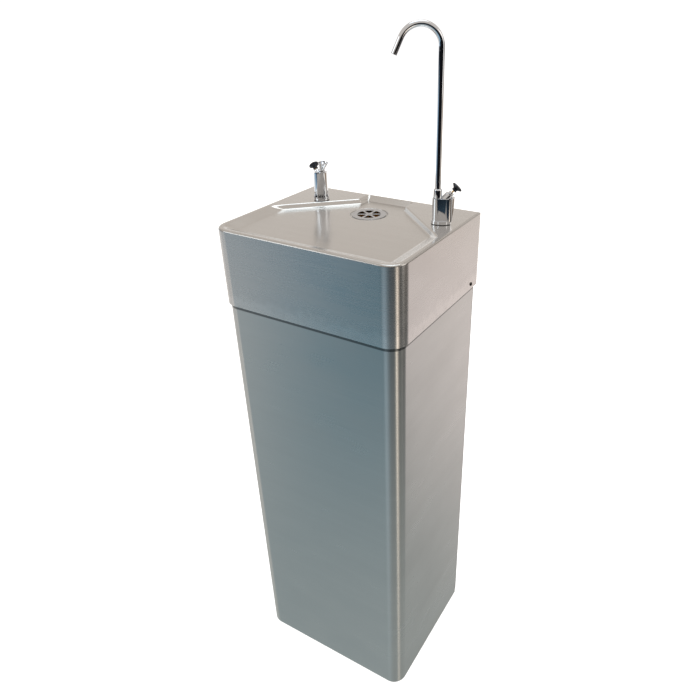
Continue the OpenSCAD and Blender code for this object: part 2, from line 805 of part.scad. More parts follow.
module hose_nuts() {
    lip_t = 2;
    for (i = [0, 1], end = [0, 1]) translate(hose_ends(i)[end]) mirror([0, 0, 1 - end])
        translate([0, 0, -hose_flange_t - fit_gap - lip_t]) color(brass) difference() {
            cylinder(r = hose_nut_af / 2 / cos(30), h = hose_nut_h, $fn = 6);
            translate([0, 0, -over]) cylinder(r = ferrule_r + fit_gap, h = hose_nut_h);
            translate([0, 0, lip_t]) cylinder(r = shank_r + fit_gap, h = hose_nut_h);
        }
}

module hose_washers() {
    for (i = [0, 1]) {
        translate(hose_ends(i)[0] - [0, 0, washer_t]) color(rubber) tube(shank_r - 0.4, way_r, washer_t);
        translate(hose_ends(i)[1]) color(rubber) tube(shank_r - 0.4, way_r, washer_t);
    }
}

// ---------- taps ----------

function shank_places() = [
    [bubbler_x, bubbler_y],
    [filler_x + filler_shank_s * cos(filler_turn), filler_y + filler_shank_s * sin(filler_turn)]];

// X and Z of the pipe clip's and the valve clamp's screws on the service rail
function rail_screw_places() = [for (p = [[pipe_x, valve_h], [valve_x, valve_h - clamp_drop]], side = [-1, 1])
    [p[0] + side * rail_screw_dx / 2, p[1]]];

module at_bubbler() { translate([bubbler_x, bubbler_y, rim_h]) rotate([0, 0, bubbler_turn]) children(); }
module at_filler() { translate([filler_x, filler_y, rim_h]) rotate([0, 0, filler_turn]) children(); }
module on_face(face) { translate([face[0], 0, face[1]]) rotate([0, valve_lean, 0]) children(); }

// Stadium between the filler's post and the barrel at s
module filler_plan(s, grow) {
    translate([s, 0]) circle(barrel_r + grow);
    circle(post_r + grow);
    polygon([[0, -post_r - grow], [s, -barrel_r - grow], [s, barrel_r + grow], [0, post_r + grow]]);
}

// Room for the valve cartridge, cut from a tap's body
module cartridge_room() {
    translate([0, 0, -chamber_l]) cylinder(r = chamber_r, h = chamber_l + over);
    translate([0, 0, -thread_l]) cylinder(r = bonnet_thread_r, h = thread_l + over);
    cylinder(r = boss_r, h = far);
}

module bubbler_body() {
    color(chrome) at_bubbler() difference() {
        union() {
            translate([0, 0, gasket_t]) cylinder(r = bubbler_r + base_flare, h = base_h);
            translate([0, 0, gasket_t + base_h]) cylinder(r1 = bubbler_r + base_flare, r2 = bubbler_r - 1, h = 12);
            translate([0, 0, gasket_t]) cylinder(r = bubbler_r, h = bubbler_h - gasket_t);
            translate([0, 0, -shank_l]) cylinder(r = shank_r, h = shank_l + 2 * gasket_t);
        }
        on_face(bubbler_face) {
            translate([-far, -far, 0]) cube(2 * far);
            cartridge_room();
        }
        translate([0, 0, -shank_l - over]) cylinder(r = shank_bore_r, h = shank_l + 25);
        // cross drilling from the inlet to the bottom of the valve chamber
        translate([0, 0, 24]) rotate([0, -48, 0]) cylinder(r = 2.2, h = 9);
        // way from the upper chamber to the nozzle
        translate([nozzle_s, 0, bubbler_h]) rotate([0, -nozzle_lean, 0])
            translate([0, 0, -nozzle_seat]) {
                cylinder(r = nozzle_neck_r + run_gap, h = nozzle_seat + 12);
                translate([0, 0, nozzle_seat + 1]) cylinder(r = nozzle_neck_r + 1.3, h = 12);
            }
        translate([nozzle_s, 0, bubbler_h]) rotate([0, -nozzle_lean, 0])
            translate([0, 0, -13]) cylinder(r = 1.8, h = 13);
    }
}

// Flared nozzle with a mouth guard that is higher on the far side
module bubbler_nozzle() {
    color(chrome) at_bubbler() translate([nozzle_s, 0, bubbler_h]) rotate([0, -nozzle_lean, 0]) difference() {
        rotate_extrude() polygon([
            [1.6, -nozzle_seat], [nozzle_neck_r, -nozzle_seat], [nozzle_neck_r, 1], [nozzle_neck_r + 1, 1], [nozzle_neck_r + 1, 4], [5, 6],
            [5.4, 10], [7.2, 15], [nozzle_lip_r, nozzle_l], [nozzle_lip_r - nozzle_wall, nozzle_l],
            [5.8, 15], [4.4, 12], [3.2, 11], [3.2, 14], [1.6, 14]]);
        translate([0, 0, nozzle_l - 3]) rotate([0, 14, 0]) translate([-far, -far, 0]) cube(2 * far);
    }
}

module cartridge_seat() {
    translate([0, 0, seat_w - seat_t]) color(brass) tube(chamber_r - fit_gap, seat_way_r, seat_t);
}

module cartridge_disc() {
    translate([0, 0, seat_w - seat_t - run_gap - disc_t]) color(rubber) tube(3.4, stem_r + run_gap, disc_t);
}

module cartridge_stem() {
    head_w = seat_w - seat_t - 2 * run_gap - disc_t;
    color(brass) {
        translate([0, 0, head_w - 1.2]) cylinder(r = stem_r, h = stem_top - head_w + 1.2);
        translate([0, 0, head_w - 1.2]) cylinder(r = 2.8, h = 1.2);
        translate([0, 0, collar_top - 1.5]) cylinder(r = 3.4, h = 1.5);
    }
}

module cartridge_bonnet() {
    color(chrome) difference() {
        union() {
            translate([0, 0, -thread_l + fit_gap]) cylinder(r = bonnet_thread_r - fit_gap, h = thread_l);
            cylinder(r = boss_r - 0.3, h = 3.4);
            translate([0, 0, 3.4]) cylinder(r1 = boss_r - 0.3, r2 = 5.2, h = 1.4);
            translate([0, 0, 3.4]) cylinder(r = 4.6, h = bonnet_top - 3.4);
        }
        translate([0, 0, -thread_l - over]) cylinder(r = chamber_r, h = thread_l + over + collar_top + run_gap);
        cylinder(r = stem_r + run_gap, h = far);
    }
}

// Push button: a flared mushroom head on a short neck, pressed on the stem
module cartridge_cap() {
    color([0.25, 0.26, 0.28]) difference() {
        translate([0, 0, cap_low]) rotate_extrude() polygon(concat(
            [[0, 0], [4.6, 0], [4.6, 1.2], [3.8, 1.8], [4.4, 3.6], [8.8, 6.6], [9.4, 7.2], [9.4, 8.4], [8.8, 9]],
            [for (a = [15 : 15 : 90]) [8.8 * cos(a), 9 + 1.8 * sin(a)]]));
        translate([0, 0, cap_low - over]) cylinder(r = stem_r + run_gap, h = stem_top - cap_low + over + run_gap);
    }
}

// Return spring: a round wire swept along a helix between the seat and the stem's collar
module cartridge_spring() {
    wire_r = 0.35;
    coil_r = 2.55;
    sides = 6;
    turns = 6;
    steps = turns * 16;
    start = seat_w + wire_r + 0.1;
    rise = collar_top - 1.5 - start - wire_r - 0.1;
    points = [for (i = [0 : steps], k = [0 : sides - 1])
        let (a = i * 360 * turns / steps, b = k * 360 / sides, r = coil_r + wire_r * cos(b))
        [r * cos(a), r * sin(a), start + rise * i / steps + wire_r * sin(b)]];
    faces = concat(
        [[for (k = [0 : sides - 1]) k]],
        [for (i = [0 : steps - 1], k = [0 : sides - 1])
            [i * sides + k, (i + 1) * sides + k, (i + 1) * sides + (k + 1) % sides, i * sides + (k + 1) % sides]],
        [[for (k = [0 : sides - 1]) steps * sides + sides - 1 - k]]);
    color(steel) polyhedron(points, faces);
}

module bubbler_seat() { at_bubbler() on_face(bubbler_face) cartridge_seat(); }
module bubbler_disc() { at_bubbler() on_face(bubbler_face) cartridge_disc(); }
module bubbler_stem() { at_bubbler() on_face(bubbler_face) cartridge_stem(); }
module bubbler_spring() { at_bubbler() on_face(bubbler_face) cartridge_spring(); }
module bubbler_bonnet() { at_bubbler() on_face(bubbler_face) cartridge_bonnet(); }
module bubbler_cap() { at_bubbler() on_face(bubbler_face) cartridge_cap(); }
module filler_seat() { at_filler() on_face(filler_face) cartridge_seat(); }
module filler_disc() { at_filler() on_face(filler_face) cartridge_disc(); }
module filler_stem() { at_filler() on_face(filler_face) cartridge_stem(); }
module filler_spring() { at_filler() on_face(filler_face) cartridge_spring(); }
module filler_bonnet() { at_filler() on_face(filler_face) cartridge_bonnet(); }
module filler_cap() { at_filler() on_face(filler_face) cartridge_cap(); }

module filler_body() {
    lean_s = barrel_s + barrel_r;
    color(chrome) at_filler() difference() {
        union() {
            intersection() {
                translate([0, 0, gasket_t]) linear_extrude(filler_h - gasket_t) filler_plan(barrel_s, 0);
                rotate([90, 0, 0]) translate([0, 0, -far / 2]) linear_extrude(far)
                    polygon([[-far, 0], [foot_s + barrel_r, 0], [lean_s, filler_h], [-far, filler_h]]);
            }
            translate([0, 0, gasket_t]) linear_extrude(base_h) filler_plan(foot_s, base_flare);
            translate([filler_shank_s, 0, -shank_l]) cylinder(r = shank_r, h = shank_l + 2 * gasket_t);
            translate([0, 0, filler_h - 2]) cylinder(r = spigot_r, h = spigot_top - filler_h + 2);
            difference() {
                on_face(filler_face) translate([0, 0, -chamber_l / 2]) cylinder(r = boss_r, h = chamber_l / 2);
                translate([0, 0, filler_h]) cylinder(r = neck_nut_r + hole_gap, h = far);
            }
        }
        on_face(filler_face) cartridge_room();
        translate([filler_shank_s, 0, -shank_l - over]) cylinder(r = shank_bore_r, h = shank_l + 31);
        // socket of the swan neck and its way to the upper chamber
        translate([0, 0, socket_z]) cylinder(r = tube_r + run_gap, h = far);
        translate([0, 0, socket_z - 0.8]) rotate([0, 85, 0]) cylinder(r = 1.6, h = 13);
    }
}

module swan_neck() {
    color(chrome) at_filler() {
        translate([0, 0, socket_z + run_gap]) tube(tube_r, tube_r - tube_wall, neck_h - socket_z - run_gap);
        translate([-neck_r, 0, neck_h]) rotate([90, 0, 0]) rotate_extrude(angle = neck_bend)
            translate([neck_r, 0]) difference() {
                circle(tube_r);
                circle(tube_r - tube_wall);
            }
        at_neck_end() translate([0, 0, -seam_l])
            tube(tube_r + seam_r, tube_r - tube_wall - seam_r, neck_tail + seam_l);
    }
}

// Frame at the end of the bend, with +Z along the straight tail
module at_neck_end() {
    translate([-neck_r, 0, neck_h]) rotate([0, -neck_bend, 0]) translate([neck_r, 0, 0]) children();
}

// Ring pressed into the tube's open end, with a narrow lip
module outlet_insert() {
    insert_l = 8;
    color(chrome) at_filler() at_neck_end() difference() {
        union() {
            translate([0, 0, neck_tail - insert_l]) cylinder(r = tube_r - tube_wall - seam_r - run_gap, h = insert_l);
            translate([0, 0, neck_tail]) cylinder(r = tube_r, h = 1);
        }
        translate([0, 0, neck_tail - insert_l - over]) cylinder(r = tube_r - 2 * tube_wall, h = insert_l + 3 * over);
    }
}

module neck_nut() {
    color(chrome) at_filler() translate([0, 0, filler_h + hole_gap]) difference() {
        h = neck_nut_top - filler_h - hole_gap;
        union() {
            cylinder(r = neck_nut_r, h = h - 2);
            translate([0, 0, h - 2]) cylinder(r1 = neck_nut_r, r2 = neck_nut_r - 1, h = 2);
        }
        translate([0, 0, -over]) cylinder(r = tube_r + run_gap, h = h + 2 * over);
        translate([0, 0, -over]) cylinder(r = spigot_r + run_gap, h = spigot_top - filler_h + 3);
    }
}

module neck_seals() {
    seal_r = 0.5;
    color(rubber) at_filler() for (i = [0, 1]) translate([0, 0, spigot_top + (2 * i + 1) * seal_r + 0.05])
        rotate_extrude() translate([tube_r + run_gap + seal_r, 0]) circle(seal_r, $fn = 24);
}

module tap_gaskets() {
    difference() {
        union() {
            color(rubber) at_bubbler() cylinder(r = bubbler_r + base_flare - 0.5, h = gasket_t);
            color(rubber) at_filler() linear_extrude(gasket_t) filler_plan(foot_s, base_flare - 0.5);
        }
        for (p = shank_places()) translate([p[0], p[1], rim_h - over]) cylinder(r = shank_r + fit_gap, h = 4 * over);
    }
}

module tap_washers() {
    for (p = shank_places()) translate([p[0], p[1], cab_top - washer_t])
        color(rubber) tube(deck_washer_r, shank_r + fit_gap, washer_t);
}

module tap_backnuts() {
    for (p = shank_places()) translate([p[0], p[1], cab_top - washer_t - backnut_h])
        color(brass) hex_nut(backnut_af, shank_r + run_gap, backnut_h);
}

hood();
hood_spacers();
hood_screws();
hood_nuts();
cabinet_wrap();
top_rail();
service_rail();
base_frame();
back_panel();
panel_screws();
strainer();
strainer_screw();
waste_seal();
waste_body();
trap_body();
trap_cup();
trap_nuts();
trap_washers();
waste_pipe();
pipe_clip();
valve_body();
valve_seats();
valve_ball();
valve_lever();
lever_grip();
lever_screw();
valve_clamp();
rail_screws();
manifold();
bubbler_hose();
filler_hose();
hose_nuts();
hose_washers();
tap_gaskets();
tap_washers();
tap_backnuts();
bubbler_body();
bubbler_nozzle();
bubbler_seat();
bubbler_disc();
bubbler_spring();
bubbler_stem();
bubbler_bonnet();
bubbler_cap();
filler_body();
swan_neck();
neck_nut();
neck_seals();
outlet_insert();
filler_seat();
filler_disc();
filler_spring();
filler_stem();
filler_bonnet();
filler_cap();
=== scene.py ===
"""Looks of a pedestal drinking fountain: brushed stainless cabinet and hood, chrome taps, swan neck."""

import json
import math

import bmesh
import bpy
from bpy.props import FloatProperty, FloatVectorProperty, IntProperty, PointerProperty
from mathutils import Matrix, Vector

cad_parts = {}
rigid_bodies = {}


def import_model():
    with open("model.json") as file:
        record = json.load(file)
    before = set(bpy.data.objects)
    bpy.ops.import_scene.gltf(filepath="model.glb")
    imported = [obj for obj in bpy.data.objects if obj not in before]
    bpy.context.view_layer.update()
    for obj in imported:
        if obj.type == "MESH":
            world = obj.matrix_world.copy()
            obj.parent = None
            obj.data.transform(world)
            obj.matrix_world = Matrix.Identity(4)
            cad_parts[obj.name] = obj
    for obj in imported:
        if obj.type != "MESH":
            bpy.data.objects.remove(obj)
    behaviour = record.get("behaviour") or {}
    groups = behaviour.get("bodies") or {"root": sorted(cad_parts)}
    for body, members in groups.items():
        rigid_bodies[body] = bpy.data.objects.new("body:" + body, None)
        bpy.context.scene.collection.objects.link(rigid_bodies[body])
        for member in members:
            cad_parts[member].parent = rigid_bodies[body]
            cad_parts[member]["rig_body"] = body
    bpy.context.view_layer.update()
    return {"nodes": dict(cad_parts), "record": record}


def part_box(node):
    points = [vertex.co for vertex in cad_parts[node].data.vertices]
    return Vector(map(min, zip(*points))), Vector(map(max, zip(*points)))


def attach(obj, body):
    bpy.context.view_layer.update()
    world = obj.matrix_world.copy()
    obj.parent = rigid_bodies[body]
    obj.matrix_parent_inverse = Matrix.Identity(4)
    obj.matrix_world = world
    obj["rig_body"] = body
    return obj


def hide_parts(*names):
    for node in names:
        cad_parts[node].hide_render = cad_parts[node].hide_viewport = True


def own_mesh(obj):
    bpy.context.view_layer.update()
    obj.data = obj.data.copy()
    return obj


bl_info = {
    "name": "Drinking fountain",
    "version": (1, 0, 0),
    "blender": (4, 5, 0),
    "location": "View3D > Sidebar > Fountain",
    "description": "Builds the visible pieces of a pedestal drinking fountain on its packed frame",
    "category": "Add Mesh",
}

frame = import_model()
SLOTS = {part["node"]: part["material_slot"] for part in frame["record"]["subparts"]}

HOOD_LOW, HOOD_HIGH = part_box("hood")
HALF_W = HOOD_HIGH.x
HALF_D = HOOD_HIGH.y
SKIRT_Z = HOOD_LOW.z
RIM_Z = HOOD_HIGH.z
CAB_LOW, CAB_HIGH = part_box("cabinet_wrap")
STRAINER_LOW, STRAINER_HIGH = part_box("strainer")
DRAIN_Y = (STRAINER_LOW.y + STRAINER_HIGH.y) / 2
GRAIN_SIDE = (2.2, 2.2, 1500.0)
GRAIN_TOP = (2.2, 1500.0, 2.2)
# Room that the metal reflects, as (degrees round from the front towards the right, colour) stops:
# low down, at eye level, and on the walls between the two
FLOOR_ROOM = (
    (-180, (1.15, 1.04, 1.00)), (-120, (1.0, 0.94, 0.90)), (-75, (0.76, 0.74, 0.72)),
    (-54, (1.15, 1.09, 1.03)), (-46, (0.50, 0.55, 0.57)), (-36, (0.09, 0.27, 0.38)),
    (-22, (0.18, 0.34, 0.45)), (-12, (0.42, 0.62, 0.76)), (0, (0.42, 0.60, 0.74)),
    (12, (0.18, 0.29, 0.37)), (26, (0.04, 0.08, 0.12)), (52, (0.05, 0.07, 0.09)),
    (60, (0.6, 0.55, 0.48)), (66, (3.0, 2.6, 2.2)), (72, (1.5, 1.25, 1.05)),
    (80, (0.16, 0.14, 0.12)), (95, (0.05, 0.045, 0.042)), (126, (0.04, 0.045, 0.05)),
    (138, (0.2, 0.2, 0.2)), (149, (1.15, 1.03, 1.0)), (180, (1.15, 1.04, 1.00)),
)
EYE_ROOM = (
    (-180, (1.3, 1.22, 1.16)), (-112, (1.1, 1.1, 1.1)), (-94, (0.32, 0.36, 0.42)),
    (-78, (0.006, 0.007, 0.009)), (132, (0.006, 0.006, 0.007)), (150, (0.35, 0.33, 0.31)),
    (166, (1.3, 1.22, 1.16)), (180, (1.3, 1.22, 1.16)),
)
WALL_ROOM = (
    (-180, (1.3, 1.22, 1.16)), (-110, (1.15, 1.12, 1.08)), (-75, (0.85, 0.90, 0.95)),
    (-54, (0.30, 0.44, 0.56)), (-42, (0.20, 0.34, 0.48)), (-32, (0.15, 0.27, 0.42)),
    (-29, (0.012, 0.014, 0.018)), (30, (0.006, 0.006, 0.008)), (78, (0.008, 0.008, 0.009)),
    (90, (0.03, 0.03, 0.03)), (100, (1.2, 1.1, 1.0)), (112, (0.35, 0.27, 0.2)),
    (136, (0.30, 0.22, 0.16)), (150, (0.7, 0.6, 0.5)), (165, (1.3, 1.22, 1.16)),
    (180, (1.3, 1.22, 1.16)),
)
# Colours of the room where heading makes no difference
NEAR_FLOOR = (0.58, 0.62, 0.61)
UPPER_WALLS = (0.72, 0.66, 0.605)
OVERHEAD = (1.25, 1.45, 1.60)
# Camera: place, the directions of its right, up and back, and the small shift of its frame
CAMERA_PLACE = (0.5723, -0.8404, 1.2865)
CAMERA_RIGHT = (0.86465, 0.50231, -0.00825)
CAMERA_UP = (-0.23710, 0.42249, 0.87480)
CAMERA_BACK = (0.44290, -0.75444, 0.48441)
CAMERA_SHIFT = (-0.0589, -0.0174)


# ---------------------------------------------------------------- sizes and colours


def length(name, description, default, low=0.0, high=1.0):
    """A length in metres that the panel shows."""
    return FloatProperty(
        name=name, description=description, default=default, min=low, max=high,
        unit="LENGTH", subtype="DISTANCE", precision=5,
    )


def amount(name, description, default, high=1000.0):
    """A strength or power that the panel shows."""
    return FloatProperty(name=name, description=description, default=default, min=0.0, max=high)


def share(name, description, default):
    """A share between none and all that the panel shows."""
    return amount(name, description, default, 1.0)


def colour(name, description, default):
    """A linear colour that the panel shows."""
    return FloatVectorProperty(
        name=name, description=description, default=default, min=0.0, max=1.0, size=3, subtype="COLOR",
    )


class FountainHood(bpy.types.PropertyGroup):
    """Shape of the pressed hood."""

    corner_r: length("Corner radius", "Radius of the hood's two front corners", 0.031)
    edge_r: length("Edge radius", "Rounding of the edge between the rim and the skirt", 0.0032)
    rim_w: length("Rim width", "Flat rim at the front and sides of the basin", 0.009)
    back_rim_w: length("Back rim width", "Flat rim behind the basin", 0.0045)
    depth: length("Basin depth", "Depth of the basin below the rim", 0.008)
    wall_run: length("Wall width", "Width of the sloping walls at the front and sides", 0.020)
    back_run: length("Back wall width", "Width of the sloping wall at the back", 0.010)
    deck_run: length("Deck wall width", "Width of the steep walls below the tap decks", 0.004)
    nose_x: length("Nose half width", "Half width of the basin between the tap decks", 0.044)
    nose_back: length("Nose depth", "Distance from the back to where the decks spread", 0.0365)
    deck_turn: FloatProperty(
        name="Deck angle", description="Angle of the tap decks' edges from the back of the hood",
        default=math.radians(43), subtype="ANGLE", unit="ROTATION",
    )
    crease_r: length("Crease rounding", "Half width of the rounding where a wall meets floor or rim", 0.0021)
    sheet_t: length("Sheet thickness", "Thickness of the sheet steel", 0.0015)
    dish_r: length("Dish radius", "Radius of the recess that the strainer lies in", 0.033)
    dish_depth: length("Dish depth", "Depth of the recess that the strainer lies in", 0.002)
    drain_r: length("Drain hole radius", "Radius of the hole below the strainer", 0.022)


class FountainMetal(bpy.types.PropertyGroup):
    """Colours of the metals, rubber and plastics."""

    hood_steel: colour("Hood steel", "Brushed stainless of the hood", (0.56, 0.55, 0.535))
    cabinet_steel: colour("Cabinet steel", "Brushed stainless of the cabinet", (0.52, 0.525, 0.51))
    frame_steel: colour("Frame steel", "Plain stainless of the rails and base frame", (0.45, 0.455, 0.46))
    chrome: colour("Chrome", "Polished chrome of the taps", (0.72, 0.74, 0.77))
    dark_chrome: colour("Button chrome", "Smoked chrome of the push buttons", (0.05, 0.055, 0.065))
    brass: colour("Brass", "Turned brass fittings", (0.72, 0.50, 0.22))
    plastic: colour("White plastic", "Moulded waste trap and pipe", (0.80, 0.80, 0.77))
    rubber: colour("Rubber", "Seals and washers", (0.02, 0.02, 0.022))
    vinyl: colour("Blue vinyl", "Dipped grip of the lever", (0.03, 0.12, 0.46))
    grain: share("Grain", "Depth of the brushed grain", 0.10)


class FountainFine(bpy.types.PropertyGroup):
    """Sizes of the small parts that the looks add."""

    screw_head: length("Screw head radius", "Radius of the low-headed screws", 0.0036)
    screw_rise: length("Screw head height", "Height of the low-headed screws", 0.0016)
    coil_turns: IntProperty(
        name="Spring turns", description="Turns of a return spring", default=6, min=2, max=20,
    )


class FountainStage(bpy.types.PropertyGroup):
    """Floor, light and camera."""

    floor_colour: colour("Floor", "Pale floor", (0.86, 0.86, 0.86))
    floor_glow: amount("Floor glow", "Light that the floor gives off itself", 0.75)
    room: amount("Room", "Brightness of the room that the metal reflects", 1.0)
    backdrop: amount("Backdrop", "Brightness of the plain backdrop", 1.1)
    key_power: amount("Key light", "Power of the cool light at the front", 10.0)
    side_power: amount("Side light", "Power of the warm light at the right", 8.0)
    top_power: amount("Top light", "Power of the light overhead", 10.0)
    lens: amount("Lens", "Focal length in millimetres on a 36 mm sensor", 32.515)


# ---------------------------------------------------------------- material nodes


class Shader:
    """A material whose nodes are added in a line or two each."""

    def __init__(self, name):
        self.material = bpy.data.materials.new(name)
        self.material.use_nodes = True
        self.tree = self.material.node_tree
        self.bsdf = next(n for n in self.tree.nodes if n.type == "BSDF_PRINCIPLED")
        self.place = self.node("ShaderNodeTexCoord").outputs["Object"]

    def put(self, socket, value):
        """Sets an input's value, or joins an output to it."""
        if isinstance(value, bpy.types.NodeSocket):
            self.tree.links.new(value, socket)
        elif socket.type == "RGBA" and not isinstance(value, float):
            socket.default_value = (*tuple(value)[:3], 1.0)
        else:
            socket.default_value = value

    def node(self, kind, inputs=None, **settings):
        made = self.tree.nodes.new(kind)
        for key, value in settings.items():
            setattr(made, key, value)
        for key, value in (inputs or {}).items():
            self.put(made.inputs[key], value)
        return made

    def scaled(self, scale):
        """Object coordinates stretched by a scale for each axis."""
        return self.node("ShaderNodeMapping", {"Vector": self.place, "Scale": scale}).outputs["Vector"]

    def noise(self, scale, detail=3.0, rough=0.55, stretch=(1.0, 1.0, 1.0)):
        return self.node(
            "ShaderNodeTexNoise",
            {"Vector": self.scaled(stretch), "Scale": scale, "Detail": detail, "Roughness": rough},
        ).outputs["Fac"]

    def ramp(self, value, *stops):
        """Colour ramp with (position, colour) stops."""
        made = self.node("ShaderNodeValToRGB", {"Fac": value})
        ends = made.color_ramp.elements
        while len(ends) < len(stops):
            ends.new(0.5)
        for end, (position, paint) in zip(ends, stops):
            end.position = position
            end.color = (*paint, 1.0) if isinstance(paint, tuple) else (paint, paint, paint, 1.0)
        return made.outputs["Color"]

    def span(self, value, low, high, start=0.0, stop=1.0):
        """Value carried from start..stop to low..high."""
        return self.node(
            "ShaderNodeMapRange",
            {"Value": value, "From Min": start, "From Max": stop, "To Min": low, "To Max": high},
        ).outputs["Result"]

    def mix(self, factor, a, b, blend="MIX"):
        made = self.node("ShaderNodeMix", data_type="RGBA", blend_type=blend)
        for key, value in (("Factor_Float", factor), ("A_Color", a), ("B_Color", b)):
            self.put(next(s for s in made.inputs if s.identifier == key), value)
        return next(s for s in made.outputs if s.identifier == "Result_Color")

    def add(self, a, b, operation="ADD"):
        made = self.node("ShaderNodeMath", operation=operation)
        self.put(made.inputs[0], a)
        self.put(made.inputs[1], b)
        return made.outputs[0]

    def bump(self, height, strength, distance=0.0002):
        return self.node(
            "ShaderNodeBump", {"Height": height, "Strength": strength, "Distance": distance}
        ).outputs["Normal"]

    def wear(self, low=0.5, high=0.62):
        """Rises on convex edges, where handling polishes or lightens a surface."""
        edge = self.node("ShaderNodeNewGeometry").outputs["Pointiness"]
        worn = self.noise(90.0, 4.0)
        return self.add(self.span(edge, 0.0, 1.0, low, high), worn, "MULTIPLY")

    def finish(self, base, metallic, rough, normal=None, **settings):
        self.put(self.bsdf.inputs["Base Color"], base)
        self.put(self.bsdf.inputs["Metallic"], metallic)
        self.put(self.bsdf.inputs["Roughness"], rough)
        if normal is not None:
            self.put(self.bsdf.inputs["Normal"], normal)
        for key, value in settings.items():
            self.put(self.bsdf.inputs[key.replace("_", " ")], value)
        return self.material


def shade(paint, factor):
    return tuple(min(1.0, c * factor) for c in paint)


def brushed(name, paint, grain, depth, rough=0.27, anisotropy=0.8, axis="Z", blotch=0.05, shadow_z=None):
    """Brushed stainless: straight grain, longer streaks, hand marks, and painted shadow, much darker from a
    little below a height upwards, for the shade under the hood's edge.
    """
    s = Shader(name)
    fine = s.noise(1.0, 2.0, 0.6, grain)
    streak = s.noise(1.0, 2.0, 0.5, tuple(g * 0.3 if g > 100 else g * 0.5 for g in grain))
    band = s.noise(1.0, 2.0, 0.5, tuple(g * 0.04 if g > 100 else g * 0.4 for g in grain))
    cloud = s.noise(3.2, 3.0, 0.5)
    smear = s.noise(11.0, 4.0, 0.6, tuple(1.6 if g > 100 else 0.7 for g in grain))
    lines = s.add(s.add(fine, 0.5, "MULTIPLY"), s.add(streak, 0.5, "MULTIPLY"))
    base = s.mix(s.span(lines, 0.0, 1.0, 0.3, 0.7), shade(paint, 0.955), shade(paint, 1.045))
    base = s.mix(s.span(band, 0.0, 1.0, 0.3, 0.7), base, shade(paint, 0.975))
    handled = (paint[0] * 0.84, paint[1] * 0.90, paint[2] * 0.93)
    base = s.mix(s.span(cloud, 0.0, blotch * 4, 0.35, 0.65), base, handled)
    base = s.mix(s.span(s.wear(0.35, 0.75), 0.0, 0.5, 0.24, 0.5), base, shade(paint, 1.2))
    # Painted shadow: the steel fades from 7.6 to 6.4 mm below this height into a much darker tone above it,
    # standing in for the shade under the hood's lower edge.
    if shadow_z is not None:
        height = s.node("ShaderNodeSeparateXYZ", {"Vector": s.place}).outputs["Z"]
        painted_shadow = s.span(height, 0.0, 0.72, shadow_z - 0.0076, shadow_z - 0.0064)
        base = s.mix(painted_shadow, base, (0.02, 0.022, 0.024))
    dull = s.span(streak, rough - 0.012, rough + 0.012, 0.3, 0.7)
    gloss = s.add(dull, s.span(smear, -0.012, 0.025, 0.35, 0.7))
    tangent = s.node("ShaderNodeTangent", direction_type="RADIAL", axis=axis)
    return s.finish(
        base, 1.0, gloss, s.bump(lines, depth, 0.00002),
        Anisotropic=anisotropy, Anisotropic_Rotation=0.25, Tangent=tangent.outputs["Tangent"],
    )


def chrome(name, paint, rough=0.045):
    """Polished plating with water spots, faint swirls and slightly darker, duller patches."""
    s = Shader(name)
    spots = s.node(
        "ShaderNodeTexVoronoi", {"Vector": s.place, "Scale": 420.0, "Randomness": 1.0}
    ).outputs["Distance"]
    haze = s.noise(60.0, 5.0)
    drops = s.ramp(spots, (0.0, 1.0), (0.16, 0.75), (0.2, 0.0), (1.0, 0.0))
    base = s.mix(s.span(haze, 0.0, 0.5, 0.4, 0.75), paint, shade(paint, 0.86))
    gloss = s.add(s.span(haze, rough, rough + 0.06, 0.35, 0.75), s.add(drops, 0.03, "MULTIPLY"))
    return s.finish(base, 1.0, gloss, s.bump(s.noise(240.0, 3.0), 0.025, 0.0001))


def turned(name, paint, rough=0.24):
    """Turned brass: tool rings in fine noise, with tarnish in patches."""
    s = Shader(name)
    rings = s.noise(1.0, 2.0, 0.6, (260.0, 260.0, 2600.0))
    tarnish = s.noise(38.0, 6.0, 0.62)
    base = s.mix(s.span(tarnish, 0.0, 1.0, 0.46, 0.7), paint, shade(paint, 0.45))
    base = s.mix(s.wear(), base, shade(paint, 1.35))
    return s.finish(base, 1.0, s.span(tarnish, rough, rough + 0.22, 0.3, 0.8), s.bump(rings, 0.10))


def moulded(name, paint, rough=0.38, grain=900.0, depth=0.08):
    """Moulded plastic: fine spark-eroded skin, slight yellowing and scuffs."""
    s = Shader(name)
    skin = s.noise(grain, 3.0, 0.7)
    age = s.noise(16.0, 4.0)
    scuff = s.noise(1.0, 5.0, 0.7, (40.0, 40.0, 320.0))
    yellowed = (paint[0] * 0.95, paint[1] * 0.91, paint[2] * 0.80)
    base = s.mix(s.span(age, 0.0, 0.7, 0.35, 0.75), paint, yellowed)
    base = s.mix(s.span(scuff, 0.0, 0.35, 0.58, 0.75), base, shade(paint, 0.72))
    gloss = s.span(scuff, rough, rough + 0.2, 0.35, 0.75)
    return s.finish(base, 0.0, gloss, s.bump(skin, depth), IOR=1.49)


def rubbery(name, paint, rough=0.62):
    """Moulded rubber or dipped vinyl with a faint bloom."""
    s = Shader(name)
    skin = s.noise(1400.0, 4.0, 0.7)
    bloom = s.noise(55.0, 5.0)
    base = s.mix(s.span(bloom, 0.0, 0.5, 0.45, 0.8), paint, tuple(0.75 * c + 0.035 for c in paint))
    return s.finish(base, 0.0, s.span(bloom, rough - 0.1, rough + 0.15, 0.3, 0.7), s.bump(skin, 0.15))


def blackened(name):
    """Blackened steel screw: dull coat with bright rubbed edges."""
    s = Shader(name)
    coat = s.noise(420.0, 5.0)
    base = s.mix(s.span(coat, 0.0, 1.0, 0.3, 0.8), (0.018, 0.018, 0.02), (0.06, 0.055, 0.05))
    base = s.mix(s.wear(0.54, 0.66), base, (0.35, 0.34, 0.33))
    return s.finish(base, 1.0, s.span(coat, 0.32, 0.55, 0.3, 0.7), s.bump(coat, 0.12))


